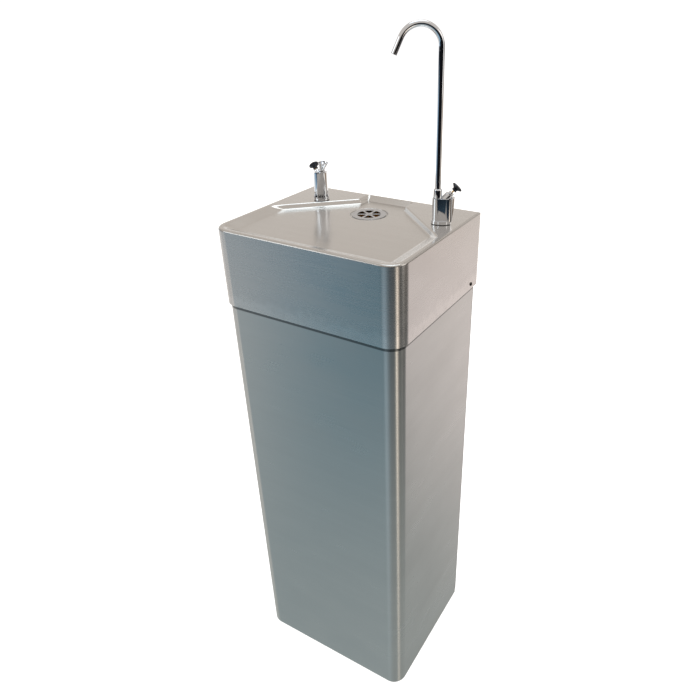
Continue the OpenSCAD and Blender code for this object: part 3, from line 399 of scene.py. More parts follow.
def braided(name):
    """Drawn stainless wire of a braided hose, darker down in the weave."""
    s = Shader(name)
    strands = s.noise(2600.0, 3.0, 0.7)
    dirt = s.noise(70.0, 5.0)
    base = s.mix(s.span(strands, 0.0, 1.0, 0.3, 0.7), (0.40, 0.40, 0.41), (0.68, 0.68, 0.67))
    base = s.mix(s.span(dirt, 0.0, 0.6, 0.45, 0.8), base, (0.20, 0.19, 0.18))
    return s.finish(base, 1.0, s.span(dirt, 0.2, 0.42, 0.3, 0.8), s.bump(strands, 0.2))


MATERIALS = {}


def material(slot_name):
    """The finish of one material slot, made once."""
    m = bpy.context.scene.fountain_metal
    makers = {
        "hood_steel": lambda: brushed("hood_skirt", m.hood_steel, GRAIN_SIDE, m.grain * 0.1),
        # Painted highlight: the top is the skirt's steel painted 1.1 times lighter for the brighter light
        # that it reflects; its grain runs the other way.
        "hood_top": lambda: brushed(
            "hood_top", shade(m.hood_steel, 1.1), GRAIN_TOP, m.grain * 0.15, 0.2, 0.6, "Y", 0.03,
        ),
        # The cabinet's steel carries a painted shadow under the hood's lower edge.
        "cabinet_steel": lambda: brushed(
            "cabinet_steel", m.cabinet_steel, GRAIN_SIDE, m.grain, 0.29, shadow_z=SKIRT_Z,
        ),
        "frame_steel": lambda: brushed("frame_steel", m.frame_steel, GRAIN_SIDE, m.grain * 0.7, 0.36, 0.3),
        "screw_steel": lambda: turned("screw_steel", (0.55, 0.55, 0.54), 0.2),
        "dark_screws": lambda: blackened("dark_screws"),
        "white_plastic": lambda: moulded("white_plastic", m.plastic),
        "strainer_chrome": lambda: chrome("strainer_chrome", shade(m.chrome, 0.72), 0.16),
        "tap_chrome": lambda: chrome("tap_chrome", m.chrome),
        "button_chrome": lambda: chrome("button_chrome", m.dark_chrome, 0.11),
        "brass_fittings": lambda: turned("brass_fittings", m.brass),
        "blue_vinyl": lambda: rubbery("blue_vinyl", m.vinyl, 0.42),
        "black_rubber": lambda: rubbery("black_rubber", m.rubber),
        "braided_steel": lambda: braided("braided_steel"),
    }
    if slot_name not in MATERIALS:
        MATERIALS[slot_name] = makers[slot_name]()
    return MATERIALS[slot_name]


# ---------------------------------------------------------------- mesh helpers


def body_of(node_name):
    return frame["nodes"][node_name]["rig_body"]


def flatten_modifiers(obj):
    """Turns an object with live modifiers into a plain mesh."""
    graph = bpy.context.evaluated_depsgraph_get()
    mesh = bpy.data.meshes.new_from_object(obj.evaluated_get(graph))
    obj.modifiers.clear()
    old = obj.data
    obj.data = mesh
    bpy.data.meshes.remove(old)
    return obj


def new_object(name, bm, materials):
    """Object at the origin from a bmesh, with its materials."""
    mesh = bpy.data.meshes.new(name)
    bm.to_mesh(mesh)
    bm.free()
    for m in materials:
        mesh.materials.append(m)
    obj = bpy.data.objects.new(name, mesh)
    bpy.context.scene.collection.objects.link(obj)
    return obj


def smooth(obj, angle=35.0):
    """Smooth shading, with edges sharper than the angle kept crisp."""
    mesh = obj.data
    mesh.shade_smooth()
    mesh.set_sharp_from_angle(angle=math.radians(angle))


def rounded(obj, width, angle=30.0, segments=3):
    """Rounds every edge sharper than the angle."""
    made = obj.modifiers.new("edges", "BEVEL")
    made.width = width
    made.segments = segments
    made.limit_method = "ANGLE"
    made.angle_limit = math.radians(angle)
    made.use_clamp_overlap = True
    obj.data.shade_smooth()
    flat_faces = obj.modifiers.new("flat_faces", "WEIGHTED_NORMAL")
    flat_faces.weight = 100
    return flatten_modifiers(obj)


def settle(obj, *nodes):
    """The finished piece stands for its CAD nodes and rides on their body."""
    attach(obj, body_of(nodes[0]))
    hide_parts(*nodes)
    return obj


def refined(node_name, edge, angle=30.0, flat=1.0, segments=3):
    """A CAD node's own shape with its facets merged and its edges rounded."""
    bm = bmesh.new()
    bm.from_mesh(frame["nodes"][node_name].data)
    bmesh.ops.remove_doubles(bm, verts=bm.verts, dist=1e-6)
    bmesh.ops.dissolve_limit(
        bm, angle_limit=math.radians(flat), verts=bm.verts, edges=bm.edges,
        use_dissolve_boundaries=False,
    )
    obj = new_object(f"{node_name}_look", bm, [material(SLOTS[node_name])])
    if edge > 0:
        rounded(obj, edge, angle, segments)
    smooth(obj, angle + 8)
    return settle(obj, node_name)


def ring(bm, centre, radius, x_axis, y_axis, count):
    return [
        bm.verts.new(centre + radius * (math.cos(a) * x_axis + math.sin(a) * y_axis))
        for a in (2 * math.pi * i / count for i in range(count))
    ]


def bridge(bm, low, high):
    count = len(low)
    for i in range(count):
        bm.faces.new((low[i], low[(i + 1) % count], high[(i + 1) % count], high[i]))


def sweep(bm, path, radius, count):
    """Round bar with closed ends along a path of points, on a frame that doesn't twist."""
    tangents = []
    for i, p in enumerate(path):
        a = path[max(i - 1, 0)]
        b = path[min(i + 1, len(path) - 1)]
        tangents.append((b - a).normalized())
    across = tangents[0].orthogonal().normalized()
    rings = []
    for i, p in enumerate(path):
        if i:
            across = tangents[i - 1].rotation_difference(tangents[i]) @ across
        across = (across - across.dot(tangents[i]) * tangents[i]).normalized()
        rings.append(ring(bm, p, radius, across, tangents[i].cross(across), count))
    for low, high in zip(rings, rings[1:]):
        bridge(bm, low, high)
    bm.faces.new(list(reversed(rings[0])))
    bm.faces.new(rings[-1])


def spread(breaks):
    """Positions through the breaks, each span cut into its own number of steps."""
    places = [breaks[0][0]]
    for (start, _), (stop, steps) in zip(breaks, breaks[1:]):
        places += [start + (stop - start) * (i + 1) / steps for i in range(steps)]
    return places


def soft_step(t, ease):
    """0 before 0 and 1 after 1, with both bends rounded over ease."""

    def rise(v):
        if v <= -ease:
            return 0.0
        return v if v >= ease else (v + ease) ** 2 / (4 * ease)

    return rise(t) - rise(t - 1)


# ---------------------------------------------------------------- geometry nodes


class Tree:
    """A geometry node tree whose nodes are added in a line each."""

    def __init__(self, name, sizes):
        self.tree = bpy.data.node_groups.new(name, "GeometryNodeTree")
        face = self.tree.interface
        face.new_socket("Geometry", in_out="INPUT", socket_type="NodeSocketGeometry")
        for key, kind in sizes.items():
            face.new_socket(key, in_out="INPUT", socket_type=kind)
        face.new_socket("Geometry", in_out="OUTPUT", socket_type="NodeSocketGeometry")
        self.start = self.tree.nodes.new("NodeGroupInput")
        self.end = self.tree.nodes.new("NodeGroupOutput")

    def node(self, kind, inputs=None, **settings):
        made = self.tree.nodes.new(kind)
        for key, value in settings.items():
            setattr(made, key, value)
        for key, value in (inputs or {}).items():
            socket = made.inputs[key]
            if isinstance(value, bpy.types.NodeSocket):
                self.tree.links.new(value, socket)
            else:
                socket.default_value = value
        return made

    def size(self, key):
        return self.start.outputs[key]

    def math(self, operation, a, b=0.0):
        return self.node("ShaderNodeMath", {0: a, 1: b}, operation=operation).outputs[0]

    def close(self, geometry):
        """Realizes the result and gives it its material."""
        whole = self.node("GeometryNodeRealizeInstances", {"Geometry": geometry})
        painted = self.node(
            "GeometryNodeSetMaterial", {"Geometry": whole.outputs[0], "Material": self.size("Material")}
        )
        self.tree.links.new(painted.outputs[0], self.end.inputs[0])
        return self.tree


def grown(name, bm_or_mesh, tree, values):
    """Plain mesh object from a tree run on a base mesh. Values are set by socket identifier."""
    base = bm_or_mesh
    if isinstance(base, bmesh.types.BMesh):
        mesh = bpy.data.meshes.new(name)
        base.to_mesh(mesh)
        base.free()
        base = mesh
    obj = bpy.data.objects.new(name, base)
    made = obj.modifiers.new("grow", "NODES")
    made.node_group = tree
    for item in tree.interface.items_tree:
        if item.item_type == "SOCKET" and item.in_out == "INPUT" and item.name in values:
            made[item.identifier] = values[item.name]
    bpy.context.scene.collection.objects.link(obj)
    graph = bpy.context.evaluated_depsgraph_get()
    mesh = bpy.data.meshes.new_from_object(obj.evaluated_get(graph))
    obj.modifiers.clear()
    obj.data = mesh
    return obj


def screw_tree():
    """Low-headed hexagon-key screws on points, each turned along its point's own axis."""
    t = Tree("screw_set", {
        "Head radius": "NodeSocketFloat", "Head height": "NodeSocketFloat",
        "Shank radius": "NodeSocketFloat", "Shank length": "NodeSocketFloat",
        "Material": "NodeSocketMaterial",
    })
    head_r, head_h = t.size("Head radius"), t.size("Head height")
    head = t.node("GeometryNodeMeshCone", {
        "Vertices": 40, "Side Segments": 4, "Fill Segments": 2,
        "Radius Top": t.math("MULTIPLY", head_r, 0.7), "Radius Bottom": head_r, "Depth": head_h,
    }).outputs["Mesh"]
    key = t.node("GeometryNodeMeshCylinder", {
        "Vertices": 6, "Radius": t.math("MULTIPLY", head_r, 0.42), "Depth": head_h,
    }).outputs["Mesh"]
    raised = t.node("ShaderNodeCombineXYZ", {"Z": t.math("MULTIPLY", head_h, 0.9)}).outputs[0]
    key = t.node("GeometryNodeTransform", {"Geometry": key, "Translation": raised}).outputs[0]
    cut = t.node("GeometryNodeMeshBoolean", operation="DIFFERENCE", solver="EXACT")
    t.tree.links.new(head, cut.inputs[0])
    t.tree.links.new(key, cut.inputs[1])
    shank_l = t.size("Shank length")
    shank = t.node("GeometryNodeMeshCylinder", {
        "Vertices": 24, "Side Segments": 6, "Radius": t.size("Shank radius"), "Depth": shank_l,
    }).outputs["Mesh"]
    lowered = t.node("ShaderNodeCombineXYZ", {"Z": t.math("MULTIPLY", shank_l, -0.5)}).outputs[0]
    shank = t.node("GeometryNodeTransform", {"Geometry": shank, "Translation": lowered}).outputs[0]
    both = t.node("GeometryNodeJoinGeometry")
    t.tree.links.new(cut.outputs[0], both.inputs[0])
    t.tree.links.new(shank, both.inputs[0])
    stored = t.node("GeometryNodeInputNamedAttribute", {"Name": "axis"}, data_type="FLOAT_VECTOR")
    axis = stored.outputs["Attribute"]
    turn = t.node("FunctionNodeAlignEulerToVector", {"Vector": axis}, axis="Z").outputs[0]
    points = t.node("GeometryNodeMeshToPoints", {"Mesh": t.size("Geometry")}).outputs[0]
    placed = t.node(
        "GeometryNodeInstanceOnPoints", {"Points": points, "Instance": both.outputs[0], "Rotation": turn}
    )
    return t.close(placed.outputs[0])


def screws(name, node_name, places, radius, rise, shank_r, shank_l):
    """A set of like screws at (point, outward axis) places."""
    mesh = bpy.data.meshes.new(name)
    mesh.from_pydata([p for p, _ in places], [], [])
    axes = mesh.attributes.new("axis", "FLOAT_VECTOR", "POINT")
    for i, (_, axis) in enumerate(places):
        axes.data[i].vector = axis
    obj = grown(name, mesh, screw_tree(), {
        "Head radius": radius, "Head height": rise, "Shank radius": shank_r, "Shank length": shank_l,
        "Material": material(SLOTS[node_name]),
    })
    smooth(obj, 40)
    return settle(obj, node_name)


# ---------------------------------------------------------------- hood and cabinet


def basin_share(x, y, s):
    """Share of the basin's depth at a place: 0 on the rim and decks, 1 on the floor."""
    ax = abs(x)
    inner_r = s.corner_r - s.rim_w
    qx = ax - (HALF_W - s.corner_r)
    qy = -y - (HALF_D - s.corner_r)
    inward = inner_r - math.hypot(max(qx, 0), max(qy, 0)) - min(max(qx, qy), 0)
    shoulder = 0.010
    if qx < 0 and qy < 0:
        gap = max(0.0, 1 - abs(qx - qy) / shoulder)
        inward -= shoulder * gap * gap * min(1.0, -max(qx, qy) / shoulder) / 4
    outer = soft_step(inward / s.wall_run, s.crease_r / s.wall_run)
    back = soft_step((HALF_D - s.back_rim_w - y) / s.back_run, 0.001 / s.back_run)
    normal = math.pi / 2 - s.deck_turn
    px = s.nose_x + s.deck_run * math.cos(normal)
    py = HALF_D - s.nose_back + s.deck_run * math.sin(normal)
    ease = s.crease_r * 0.8 / s.deck_run
    to_deck = -((ax - px) * math.cos(normal) + (y - py) * math.sin(normal))
    main = soft_step(to_deck / s.deck_run, min(ease, 0.49))
    nose = 0.0
    if y > HALF_D - s.nose_back - 1.5 * s.deck_run:
        nose = soft_step((s.nose_x + s.deck_run - ax) / s.deck_run, min(ease, 0.49))
    both = max(main, nose)
    near = min(main, nose)
    both = min(1.0, both + 0.25 * near * (1 - both))
    return outer * back * both


def hood_grid(bm, s):
    """Top of the hood as a grid along the creases; returns its outline with outward directions."""
    edge = s.edge_r
    half = spread([
        (0, 0), (0.040, 8), (0.053, 17), (0.140, 22), (0.151, 12), (0.161, 6), (HALF_W - edge, 14),
    ])
    columns = [-x for x in reversed(half[1:])] + half
    normal = math.pi / 2 - s.deck_turn
    px = s.nose_x + s.deck_run * math.cos(normal)
    py = HALF_D - s.nose_back + s.deck_run * math.sin(normal)
    cx, cy = HALF_W - s.corner_r, -HALF_D + s.corner_r
    verts, outward = [], []
    for x in columns:
        ax = max(abs(x), s.nose_x)
        top = py - (ax - px) * math.cos(normal) / math.sin(normal)
        low = top - s.deck_run / math.sin(normal)
        ys = spread([
            (-HALF_D + edge, 0), (-0.1290, 13), (-0.1175, 6), (-0.1090, 10), (low - 0.0025, 25),
            (top + 0.0025, 15), (0.1235, 14), (HALF_D - edge, 22),
        ])
        rows = len(ys)
        column, ways = [], []
        for y in ys:
            place_x, place_y = x, y
            u, v = abs(x) - cx, cy - y
            way = Vector((0, 0, 0))
            if u > 0 and v > 0:
                scale = max(u, v) / math.hypot(u, v)
                way = Vector((math.copysign(u, x), -v, 0)).normalized()
                place_x, place_y = math.copysign(cx + u * scale, x), cy - v * scale
            z = RIM_Z - s.depth * basin_share(place_x, place_y, s)
            column.append(bm.verts.new((place_x, place_y, z)))
            ways.append(way)
        verts.append(column)
        outward.append(ways)
    for i in range(len(columns) - 1):
        for j in range(rows - 1):
            face = bm.faces.new((verts[i][j], verts[i + 1][j], verts[i + 1][j + 1], verts[i][j + 1]))
            face.material_index = 1
    last_i, last_j = len(columns) - 1, rows - 1
    loop = [(i, 0) for i in range(last_i)] + [(last_i, j) for j in range(last_j)]
    loop += [(i, last_j) for i in range(last_i, 0, -1)] + [(0, j) for j in range(last_j, 0, -1)]
    outline = []
    for i, j in loop:
        way = outward[i][j]
        if way.length < 0.5:
            way = Vector((
                (i == last_i) - (i == 0),
                (j == last_j) - (j == 0),
                0,
            ))
            if j == 0:
                way = Vector((0, -1, 0))
        outline.append((verts[i][j], way))
    return outline


def cutter(name, profile, place, count=96):
    """Turned solid from (radius, height) pairs, for cutting with."""
    bm = bmesh.new()
    x_way, y_way = Vector((1, 0, 0)), Vector((0, 1, 0))
    rings = [ring(bm, place + Vector((0, 0, z)), r, x_way, y_way, count) for r, z in profile]
    for low, high in zip(rings, rings[1:]):
        bridge(bm, low, high)
    bm.faces.new(list(reversed(rings[0])))
    bm.faces.new(rings[-1])
    bmesh.ops.recalc_face_normals(bm, faces=bm.faces)
    return new_object(name, bm, [])


class FOUNTAIN_OT_hood(bpy.types.Operator):
    """Pressed hood: basin, tap decks, rounded rim and skirt from one sheet"""

    bl_idname = "fountain.hood"
    bl_label = "Hood"

    def execute(self, context):
        s = context.scene.fountain_hood
        bm = bmesh.new()
        outline = hood_grid(bm, s)
        edge = s.edge_r
        profile = [(edge * math.sin(a), RIM_Z - edge + edge * math.cos(a))
                   for a in (math.pi / 2 * k / 7 for k in range(1, 8))]
        skirt_h = RIM_Z - edge - SKIRT_Z
        profile += [(edge, RIM_Z - edge - skirt_h * k / 6) for k in range(1, 7)]
        previous = [v for v, _ in outline]
        for out, z in profile:
            loop = [bm.verts.new((v.co.x + w.x * out, v.co.y + w.y * out, z)) for v, w in outline]
            for i in range(len(loop)):
                j = (i + 1) % len(loop)
                bm.faces.new((previous[j], previous[i], loop[i], loop[j]))
            previous = loop
        obj = new_object("hood_pressing", bm, [material("hood_steel"), material("hood_top")])
        wall = obj.modifiers.new("sheet", "SOLIDIFY")
        wall.thickness = s.sheet_t
        wall.offset = -1.0
        wall.use_even_offset = True
        flatten_modifiers(obj)
        floor_z = RIM_Z - s.depth
        lip = 0.0012
        dish = [(s.drain_r, -0.01), (s.drain_r, -s.dish_depth), (s.dish_r - 0.0006, -s.dish_depth)]
        dish += [(s.dish_r + lip * (1 - math.cos(a)), -lip + lip * math.sin(a))
                 for a in (math.pi / 2 * k / 6 for k in range(7))]
        dish += [(s.dish_r + lip + 0.0004, 0.001)]
        tool = cutter("dish_tool", dish, Vector((0, DRAIN_Y, floor_z)))
        inner, outer = s.drain_r - 0.002, s.dish_r + s.sheet_t
        low, high = -s.dish_depth - s.sheet_t, -0.0005
        pan = cutter("pan", [(inner, low), (outer, low), (outer, high), (inner, high)],
                     Vector((0, DRAIN_Y, floor_z)))
        pan.data.materials.append(material("hood_steel"))
        pan.data.materials.append(material("hood_top"))
        for face in pan.data.polygons:
            face.material_index = 1
        for name, operation, other in (("pan", "UNION", pan), ("dish", "DIFFERENCE", tool)):
            made = obj.modifiers.new(name, "BOOLEAN")
            made.operation = operation
            made.solver = "EXACT"
            made.object = other
        flatten_modifiers(obj)
        for other in (tool, pan):
            bpy.data.objects.remove(other)
        rounded(obj, 0.0004, 50, 2)
        smooth(obj, 40)
        settle(obj, "hood")
        return {"FINISHED"}


class FOUNTAIN_OT_cabinet(bpy.types.Operator):
    """Folded cabinet, back panel, rails, base frame and the screws that hold them"""

    bl_idname = "fountain.cabinet"
    bl_label = "Cabinet"

    def execute(self, context):
        s = context.scene.fountain_hood
        f = context.scene.fountain_fine
        half_w, front, top = CAB_HIGH.x, CAB_LOW.y, CAB_HIGH.z
        radius = s.corner_r - (HALF_W - half_w)
        flange = 0.018
        bend = 0.0025
        back_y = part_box("back_panel")[0].y

        def arc(cx, cy, r, a0, a1, steps):
            angles = [math.radians(a0 + (a1 - a0) * k / steps) for k in range(steps + 1)]
            return [(cx + r * math.cos(a), cy + r * math.sin(a)) for a in angles]

        right = [(half_w - flange, back_y), (half_w - bend * 2, back_y)]
        right += arc(half_w - bend, back_y - bend, bend, 90, 0, 6)
        right += [(half_w, back_y + (front + radius - back_y) * k / 10) for k in range(1, 10)]
        right += arc(half_w - radius, front + radius, radius, 0, -90, 28)
        plan = right + [(x, front) for x in (0.09, 0.045, 0.0, -0.045, -0.09)]
        plan += [(-x, y) for x, y in reversed(right)]
        bm = bmesh.new()
        levels = [top * k / 24 for k in range(25)]
        rows = [[bm.verts.new((x, y, z)) for x, y in plan] for z in levels]
        for low, high in zip(rows, rows[1:]):
            for i in range(len(plan) - 1):
                bm.faces.new((low[i + 1], low[i], high[i], high[i + 1]))
        obj = new_object("cabinet_sheet", bm, [material("cabinet_steel")])
        wall = obj.modifiers.new("sheet", "SOLIDIFY")
        wall.thickness = s.sheet_t
        wall.offset = -1.0
        wall.use_even_offset = True
        flatten_modifiers(obj)
        rounded(obj, 0.0003, 50, 2)
        smooth(obj, 40)
        settle(obj, "cabinet_wrap")
        refined("back_panel", 0.0004)
        for name in ("top_rail", "service_rail", "base_frame"):
            refined(name, 0.0003)
        for name in ("hood_nuts", "rail_screws"):
            refined(name, 0.0003)
        refined("hood_spacers", 0.0003)
        low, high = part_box("hood_screws")
        y, z = (low.y + high.y) / 2, (low.z + high.z) / 2
        places = [(Vector((side * HALF_W, y, z)), Vector((side, 0, 0))) for side in (-1, 1)]
        screws("side_screws", "hood_screws", places, f.screw_head, f.screw_rise, 0.0019, 0.011)
        low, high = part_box("panel_screws")
        mesh = frame["nodes"]["panel_screws"].data
        heights = sorted({round(v.co.z, 4) for v in mesh.vertices})
        levels = []
        for h in heights:
            if not levels or h - levels[-1][-1] > 0.02:
                levels.append([h])
            levels[-1].append(h)
        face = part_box("back_panel")[1].y
        x = high.x - f.screw_head
        places = [
            (Vector((side * x, face, (group[0] + group[-1]) / 2)), Vector((0, 1, 0)))
            for side in (-1, 1) for group in levels
        ]
        screws("back_screws", "panel_screws", places, f.screw_head, f.screw_rise, 0.0019, 0.0075)
        return {"FINISHED"}


# ---------------------------------------------------------------- waste, valve and hoses


class FOUNTAIN_OT_waste(bpy.types.Operator):
    """Strainer, waste fitting, bottle trap, pipe and its clip"""

    bl_idname = "fountain.waste"
    bl_label = "Waste"

    def execute(self, context):
        refined("strainer", 0.0005, angle=25)
        refined("strainer_screw", 0.0003)
        refined("waste_seal", 0.0004)
        refined("waste_body", 0.0005)
        for name in ("trap_body", "trap_cup", "trap_nuts"):
            refined(name, 0.0006)
        refined("trap_washers", 0.0003)
        refined("waste_pipe", 0.0003)
        refined("pipe_clip", 0.0003)
        return {"FINISHED"}


class FOUNTAIN_OT_valve(bpy.types.Operator):
    """Lever stop valve, its clamp and the manifold above it"""

    bl_idname = "fountain.valve"
    bl_label = "Stop valve"

    def execute(self, context):
        refined("valve_body", 0.0006)
        refined("manifold", 0.0006)
        refined("valve_ball", 0.0002)
        refined("valve_seats", 0.0002)
        refined("valve_lever", 0.0005)
        refined("lever_grip", 0.0012, segments=4)
        refined("lever_screw", 0.0004)
        refined("valve_clamp", 0.0003)
        return {"FINISHED"}


class FOUNTAIN_OT_hoses(bpy.types.Operator):
    """Braided supply hoses with their nuts and washers"""

    bl_idname = "fountain.hoses"
    bl_label = "Hoses"

    def execute(self, context):
        for name in ("bubbler_hose", "filler_hose"):
            refined(name, 0.0003)
        refined("hose_nuts", 0.0005)
        refined("hose_washers", 0.0002)
        return {"FINISHED"}


# ---------------------------------------------------------------- taps


def spring_look(name, turns):
    """Return spring wound round its stem over the CAD spring's own length."""
    node = frame["nodes"][name]
    centre, axis, low, high, coil_r = cylinder_fit([v.co for v in node.data.vertices])
    wire = 0.00035
    across = axis.orthogonal().normalized()
    side = axis.cross(across)
    steps = turns * 28
    path = []
    for i in range(steps + 1):
        a = 2 * math.pi * turns * i / steps
        at = centre + axis * (low + wire + (high - low - 2 * wire) * i / steps)
        path.append(at + (coil_r - wire) * (math.cos(a) * across + math.sin(a) * side))
    bm = bmesh.new()
    sweep(bm, path, wire * 0.98, 10)
    bmesh.ops.recalc_face_normals(bm, faces=bm.faces)
    obj = new_object(f"{name}_look", bm, [material(SLOTS[name])])
    smooth(obj, 50)
    settle(obj, name)
    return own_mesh(obj)


def cylinder_fit(points):
    """Centre, axis, ends and outer radius of a coil, from its points."""
    middle = sum(points, Vector()) / len(points)
    spread_m = Matrix(((0, 0, 0), (0, 0, 0), (0, 0, 0)))
    for p in points:
        d = p - middle
        for r in range(3):
            for c in range(3):
                spread_m[r][c] += d[r] * d[c] * 1e6
    axis = Vector((0.3, 0.2, 1.0)).normalized()
    for _ in range(60):
        axis = (spread_m @ axis).normalized()
    along = [(p - middle).dot(axis) for p in points]
    radius = max(((p - middle) - axis * a).length for p, a in zip(points, along))
    return middle, axis, min(along), max(along), radius


class FOUNTAIN_OT_bubbler(bpy.types.Operator):
    """Push-button bubbler with its flared nozzle"""

    bl_idname = "fountain.bubbler"
    bl_label = "Bubbler"

    def execute(self, context):
        f = context.scene.fountain_fine
        refined("bubbler_body", 0.0009, segments=4)
        refined("bubbler_nozzle", 0.00035)
        refined("bubbler_bonnet", 0.0004)
        refined("bubbler_cap", 0.0004)
        refined("bubbler_stem", 0.0002)
        refined("bubbler_seat", 0.0002)
        refined("bubbler_disc", 0.0002)
        spring_look("bubbler_spring", f.coil_turns)
        return {"FINISHED"}


class FOUNTAIN_OT_filler(bpy.types.Operator):
    """Bottle filler: body, push button, swan neck and the fittings below the deck"""

    bl_idname = "fountain.filler"
    bl_label = "Bottle filler"

    def execute(self, context):
        f = context.scene.fountain_fine
        refined("filler_body", 0.0010, segments=4)
        refined("filler_bonnet", 0.0004)
        refined("filler_cap", 0.0004)
        refined("filler_stem", 0.0002)
        refined("filler_seat", 0.0002)
        refined("filler_disc", 0.0002)
        spring_look("filler_spring", f.coil_turns)
        refined("neck_nut", 0.0004)
        refined("neck_seals", 0.0)
        refined("swan_neck", 0.0002, flat=0.2)
        refined("outlet_insert", 0.0002)
        refined("tap_gaskets", 0.0002)
        refined("tap_washers", 0.0003)
        refined("tap_backnuts", 0.0005)
        return {"FINISHED"}


# ---------------------------------------------------------------- stage


class FOUNTAIN_OT_stage(bpy.types.Operator):
    """Pale floor, soft studio light and the camera"""

    bl_idname = "fountain.stage"
    bl_label = "Stage"

    def execute(self, context):
        s = context.scene.fountain_stage
        scene = context.scene
        scene.view_settings.view_transform = "Standard"
        bm = bmesh.new()
        bmesh.ops.create_grid(bm, x_segments=8, y_segments=8, size=6.0)
        for v in bm.verts:
            v.co.z = -0.0005
        floor = new_object("floor", bm, [])
        paint = Shader("pale_floor")
        tone = paint.noise(3.0, 3.0)
        floor.data.materials.append(paint.finish(
            paint.mix(
                paint.span(tone, 0.0, 0.25, 0.3, 0.7), tuple(s.floor_colour), shade(s.floor_colour, 0.97)
            ),
            0.0, 0.7, paint.bump(paint.noise(900.0), 0.03),
            Emission_Color=(1.0, 0.995, 0.99), Emission_Strength=s.floor_glow,
        ))
        floor.visible_glossy = False
        world = bpy.data.worlds.new("studio")
        scene.world = world
        world.use_nodes = True
        tree = world.node_tree
        tree.nodes.clear()

        def add(kind, **inputs):
            made = tree.nodes.new(kind)
            for key, value in inputs.items():
                socket = made.inputs[key.replace("_", " ")]
                if isinstance(value, bpy.types.NodeSocket):
                    tree.links.new(value, socket)
                else:
                    socket.default_value = value
            return made

        def ramp(value, stops):
            made = add("ShaderNodeValToRGB", Fac=value)
            ends = made.color_ramp.elements
            while len(ends) < len(stops):
                ends.new(0.5)
            for end, (position, paint_at) in zip(ends, stops):
                end.position = position
                end.color = (*paint_at, 1.0)
            return made.outputs["Color"]

        def blend(factor, a, b):
            made = tree.nodes.new("ShaderNodeMix")
            made.data_type = "RGBA"
            for key, value in (("Factor_Float", factor), ("A_Color", a), ("B_Color", b)):
                socket = next(k for k in made.inputs if k.identifier == key)
                if isinstance(value, bpy.types.NodeSocket):
                    tree.links.new(value, socket)
                else:
                    socket.default_value = (*value, 1.0)
            return next(k for k in made.outputs if k.identifier == "Result_Color")

        def part(value, start, stop):
            return add("ShaderNodeMapRange", Value=value, From_Min=start, From_Max=stop).outputs[0]

        place = add("ShaderNodeTexCoord").outputs["Generated"]
        way = add("ShaderNodeSeparateXYZ", Vector=place).outputs
        turn = tree.nodes.new("ShaderNodeMath")
        turn.operation = "ARCTAN2"
        tree.links.new(way["X"], turn.inputs[0])
        flip = tree.nodes.new("ShaderNodeMath")
        flip.operation = "MULTIPLY"
        tree.links.new(way["Y"], flip.inputs[0])
        flip.inputs[1].default_value = -1.0
        tree.links.new(flip.outputs[0], turn.inputs[1])
        heading = part(turn.outputs[0], -math.pi, math.pi)
        low_down, upright, level = (
            ramp(heading, [((a + 180) / 360, c) for a, c in colours])
            for colours in (FLOOR_ROOM, WALL_ROOM, EYE_ROOM)
        )
        low = blend(part(way["Z"], -0.50, -0.80), low_down, NEAR_FLOOR)
        walls = blend(part(way["Z"], -0.34, -0.28), low, upright)
        walls = blend(part(way["Z"], -0.15, -0.09), walls, level)
        ceiling = blend(part(way["Z"], 0.08, 0.30), walls, UPPER_WALLS)
        sky = blend(part(way["Z"], 0.88, 0.98), ceiling, OVERHEAD)
        room = add("ShaderNodeBackground", Color=sky, Strength=s.room)
        plain = add("ShaderNodeBackground", Color=(1.0, 1.0, 1.0, 1.0), Strength=s.backdrop)
        ray = add("ShaderNodeLightPath").outputs["Is Camera Ray"]
        both = add("ShaderNodeMixShader", Fac=ray)
        tree.links.new(room.outputs[0], both.inputs[1])
        tree.links.new(plain.outputs[0], both.inputs[2])
        out = tree.nodes.new("ShaderNodeOutputWorld")
        tree.links.new(both.outputs[0], out.inputs[0])

        def panel(name, place_at, target, size, power, paint_at):
            lamp = bpy.data.lights.new(name, "AREA")
            lamp.shape = "RECTANGLE"
            lamp.size, lamp.size_y = size
            lamp.energy = power
            lamp.color = paint_at
            obj = bpy.data.objects.new(name, lamp)
            obj.location = place_at
            obj.rotation_mode = "QUATERNION"
            obj.rotation_quaternion = (Vector(target) - Vector(place_at)).to_track_quat("-Z", "Y")
            scene.collection.objects.link(obj)

        panel("front_light", (-1.9, -2.2, 1.9), (0, 0, 0.6), (1.4, 1.4), s.key_power, (0.88, 0.95, 1.0))
        panel("side_light", (2.6, 0.6, 1.6), (0, 0, 0.7), (1.4, 1.8), s.side_power, (1.0, 0.95, 0.90))
        panel("top_light", (0.0, 0.4, 3.2), (0, 0, 0.9), (1.8, 1.4), s.top_power, (1.0, 0.98, 0.96))

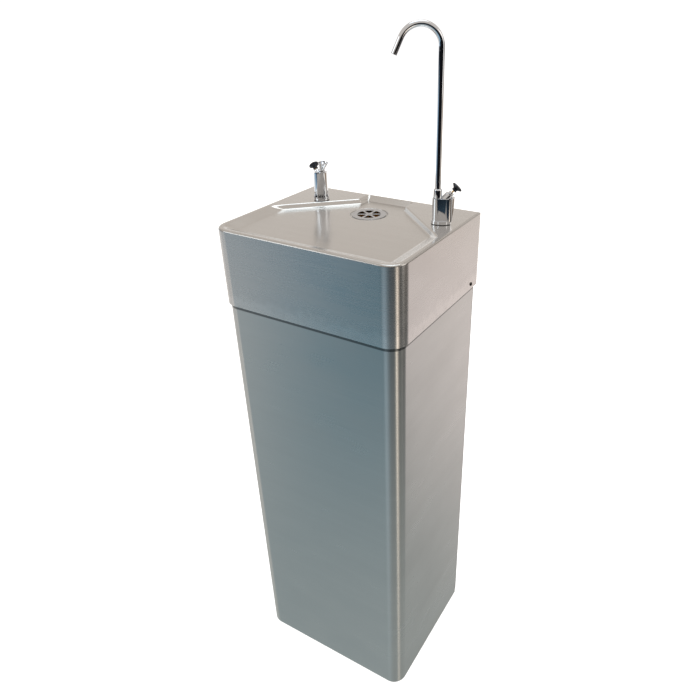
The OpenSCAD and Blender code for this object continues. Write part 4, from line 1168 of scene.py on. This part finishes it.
        lens = bpy.data.cameras.new("camera")
        lens.sensor_width = 36.0
        lens.lens = s.lens
        lens.shift_x, lens.shift_y = CAMERA_SHIFT
        lens.clip_start = 0.05
        lens.clip_end = 50.0
        eye = bpy.data.objects.new("camera", lens)
        facing = Matrix((CAMERA_RIGHT, CAMERA_UP, CAMERA_BACK)).transposed()
        eye.matrix_world = Matrix.Translation(CAMERA_PLACE) @ facing.to_4x4()
        scene.collection.objects.link(eye)
        scene.camera = eye
        return {"FINISHED"}


class FOUNTAIN_PT_panel(bpy.types.Panel):
    """Sizes, colours and the steps that build the fountain"""

    bl_idname = "FOUNTAIN_PT_panel"
    bl_label = "Drinking fountain"
    bl_space_type = "VIEW_3D"
    bl_region_type = "UI"
    bl_category = "Fountain"

    def draw(self, context):
        layout = self.layout
        for group in GROUPS:
            box = layout.box()
            settings = getattr(context.scene, group)
            box.label(text=group.replace("fountain_", "").title())
            for key in GROUPS[group].__annotations__:
                box.prop(settings, key)
        for step in STEPS:
            layout.operator(step.bl_idname)


GROUPS = {
    "fountain_hood": FountainHood,
    "fountain_metal": FountainMetal,
    "fountain_fine": FountainFine,
    "fountain_stage": FountainStage,
}
STEPS = (
    FOUNTAIN_OT_stage,
    FOUNTAIN_OT_hood,
    FOUNTAIN_OT_cabinet,
    FOUNTAIN_OT_waste,
    FOUNTAIN_OT_valve,
    FOUNTAIN_OT_hoses,
    FOUNTAIN_OT_bubbler,
    FOUNTAIN_OT_filler,
)


def register():
    for kind in (*GROUPS.values(), *STEPS, FOUNTAIN_PT_panel):
        bpy.utils.register_class(kind)
    for key, kind in GROUPS.items():
        setattr(bpy.types.Scene, key, PointerProperty(type=kind))


def unregister():
    for key in GROUPS:
        delattr(bpy.types.Scene, key)
    for kind in (FOUNTAIN_PT_panel, *reversed(STEPS), *reversed(list(GROUPS.values()))):
        bpy.utils.unregister_class(kind)


def main():
    register()
    for step in STEPS:
        group, action = step.bl_idname.split(".")
        if getattr(getattr(bpy.ops, group), action)() != {"FINISHED"}:
            raise RuntimeError(f"{step.bl_label} was not built")
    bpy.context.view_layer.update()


if __name__ == "__main__":
    main()
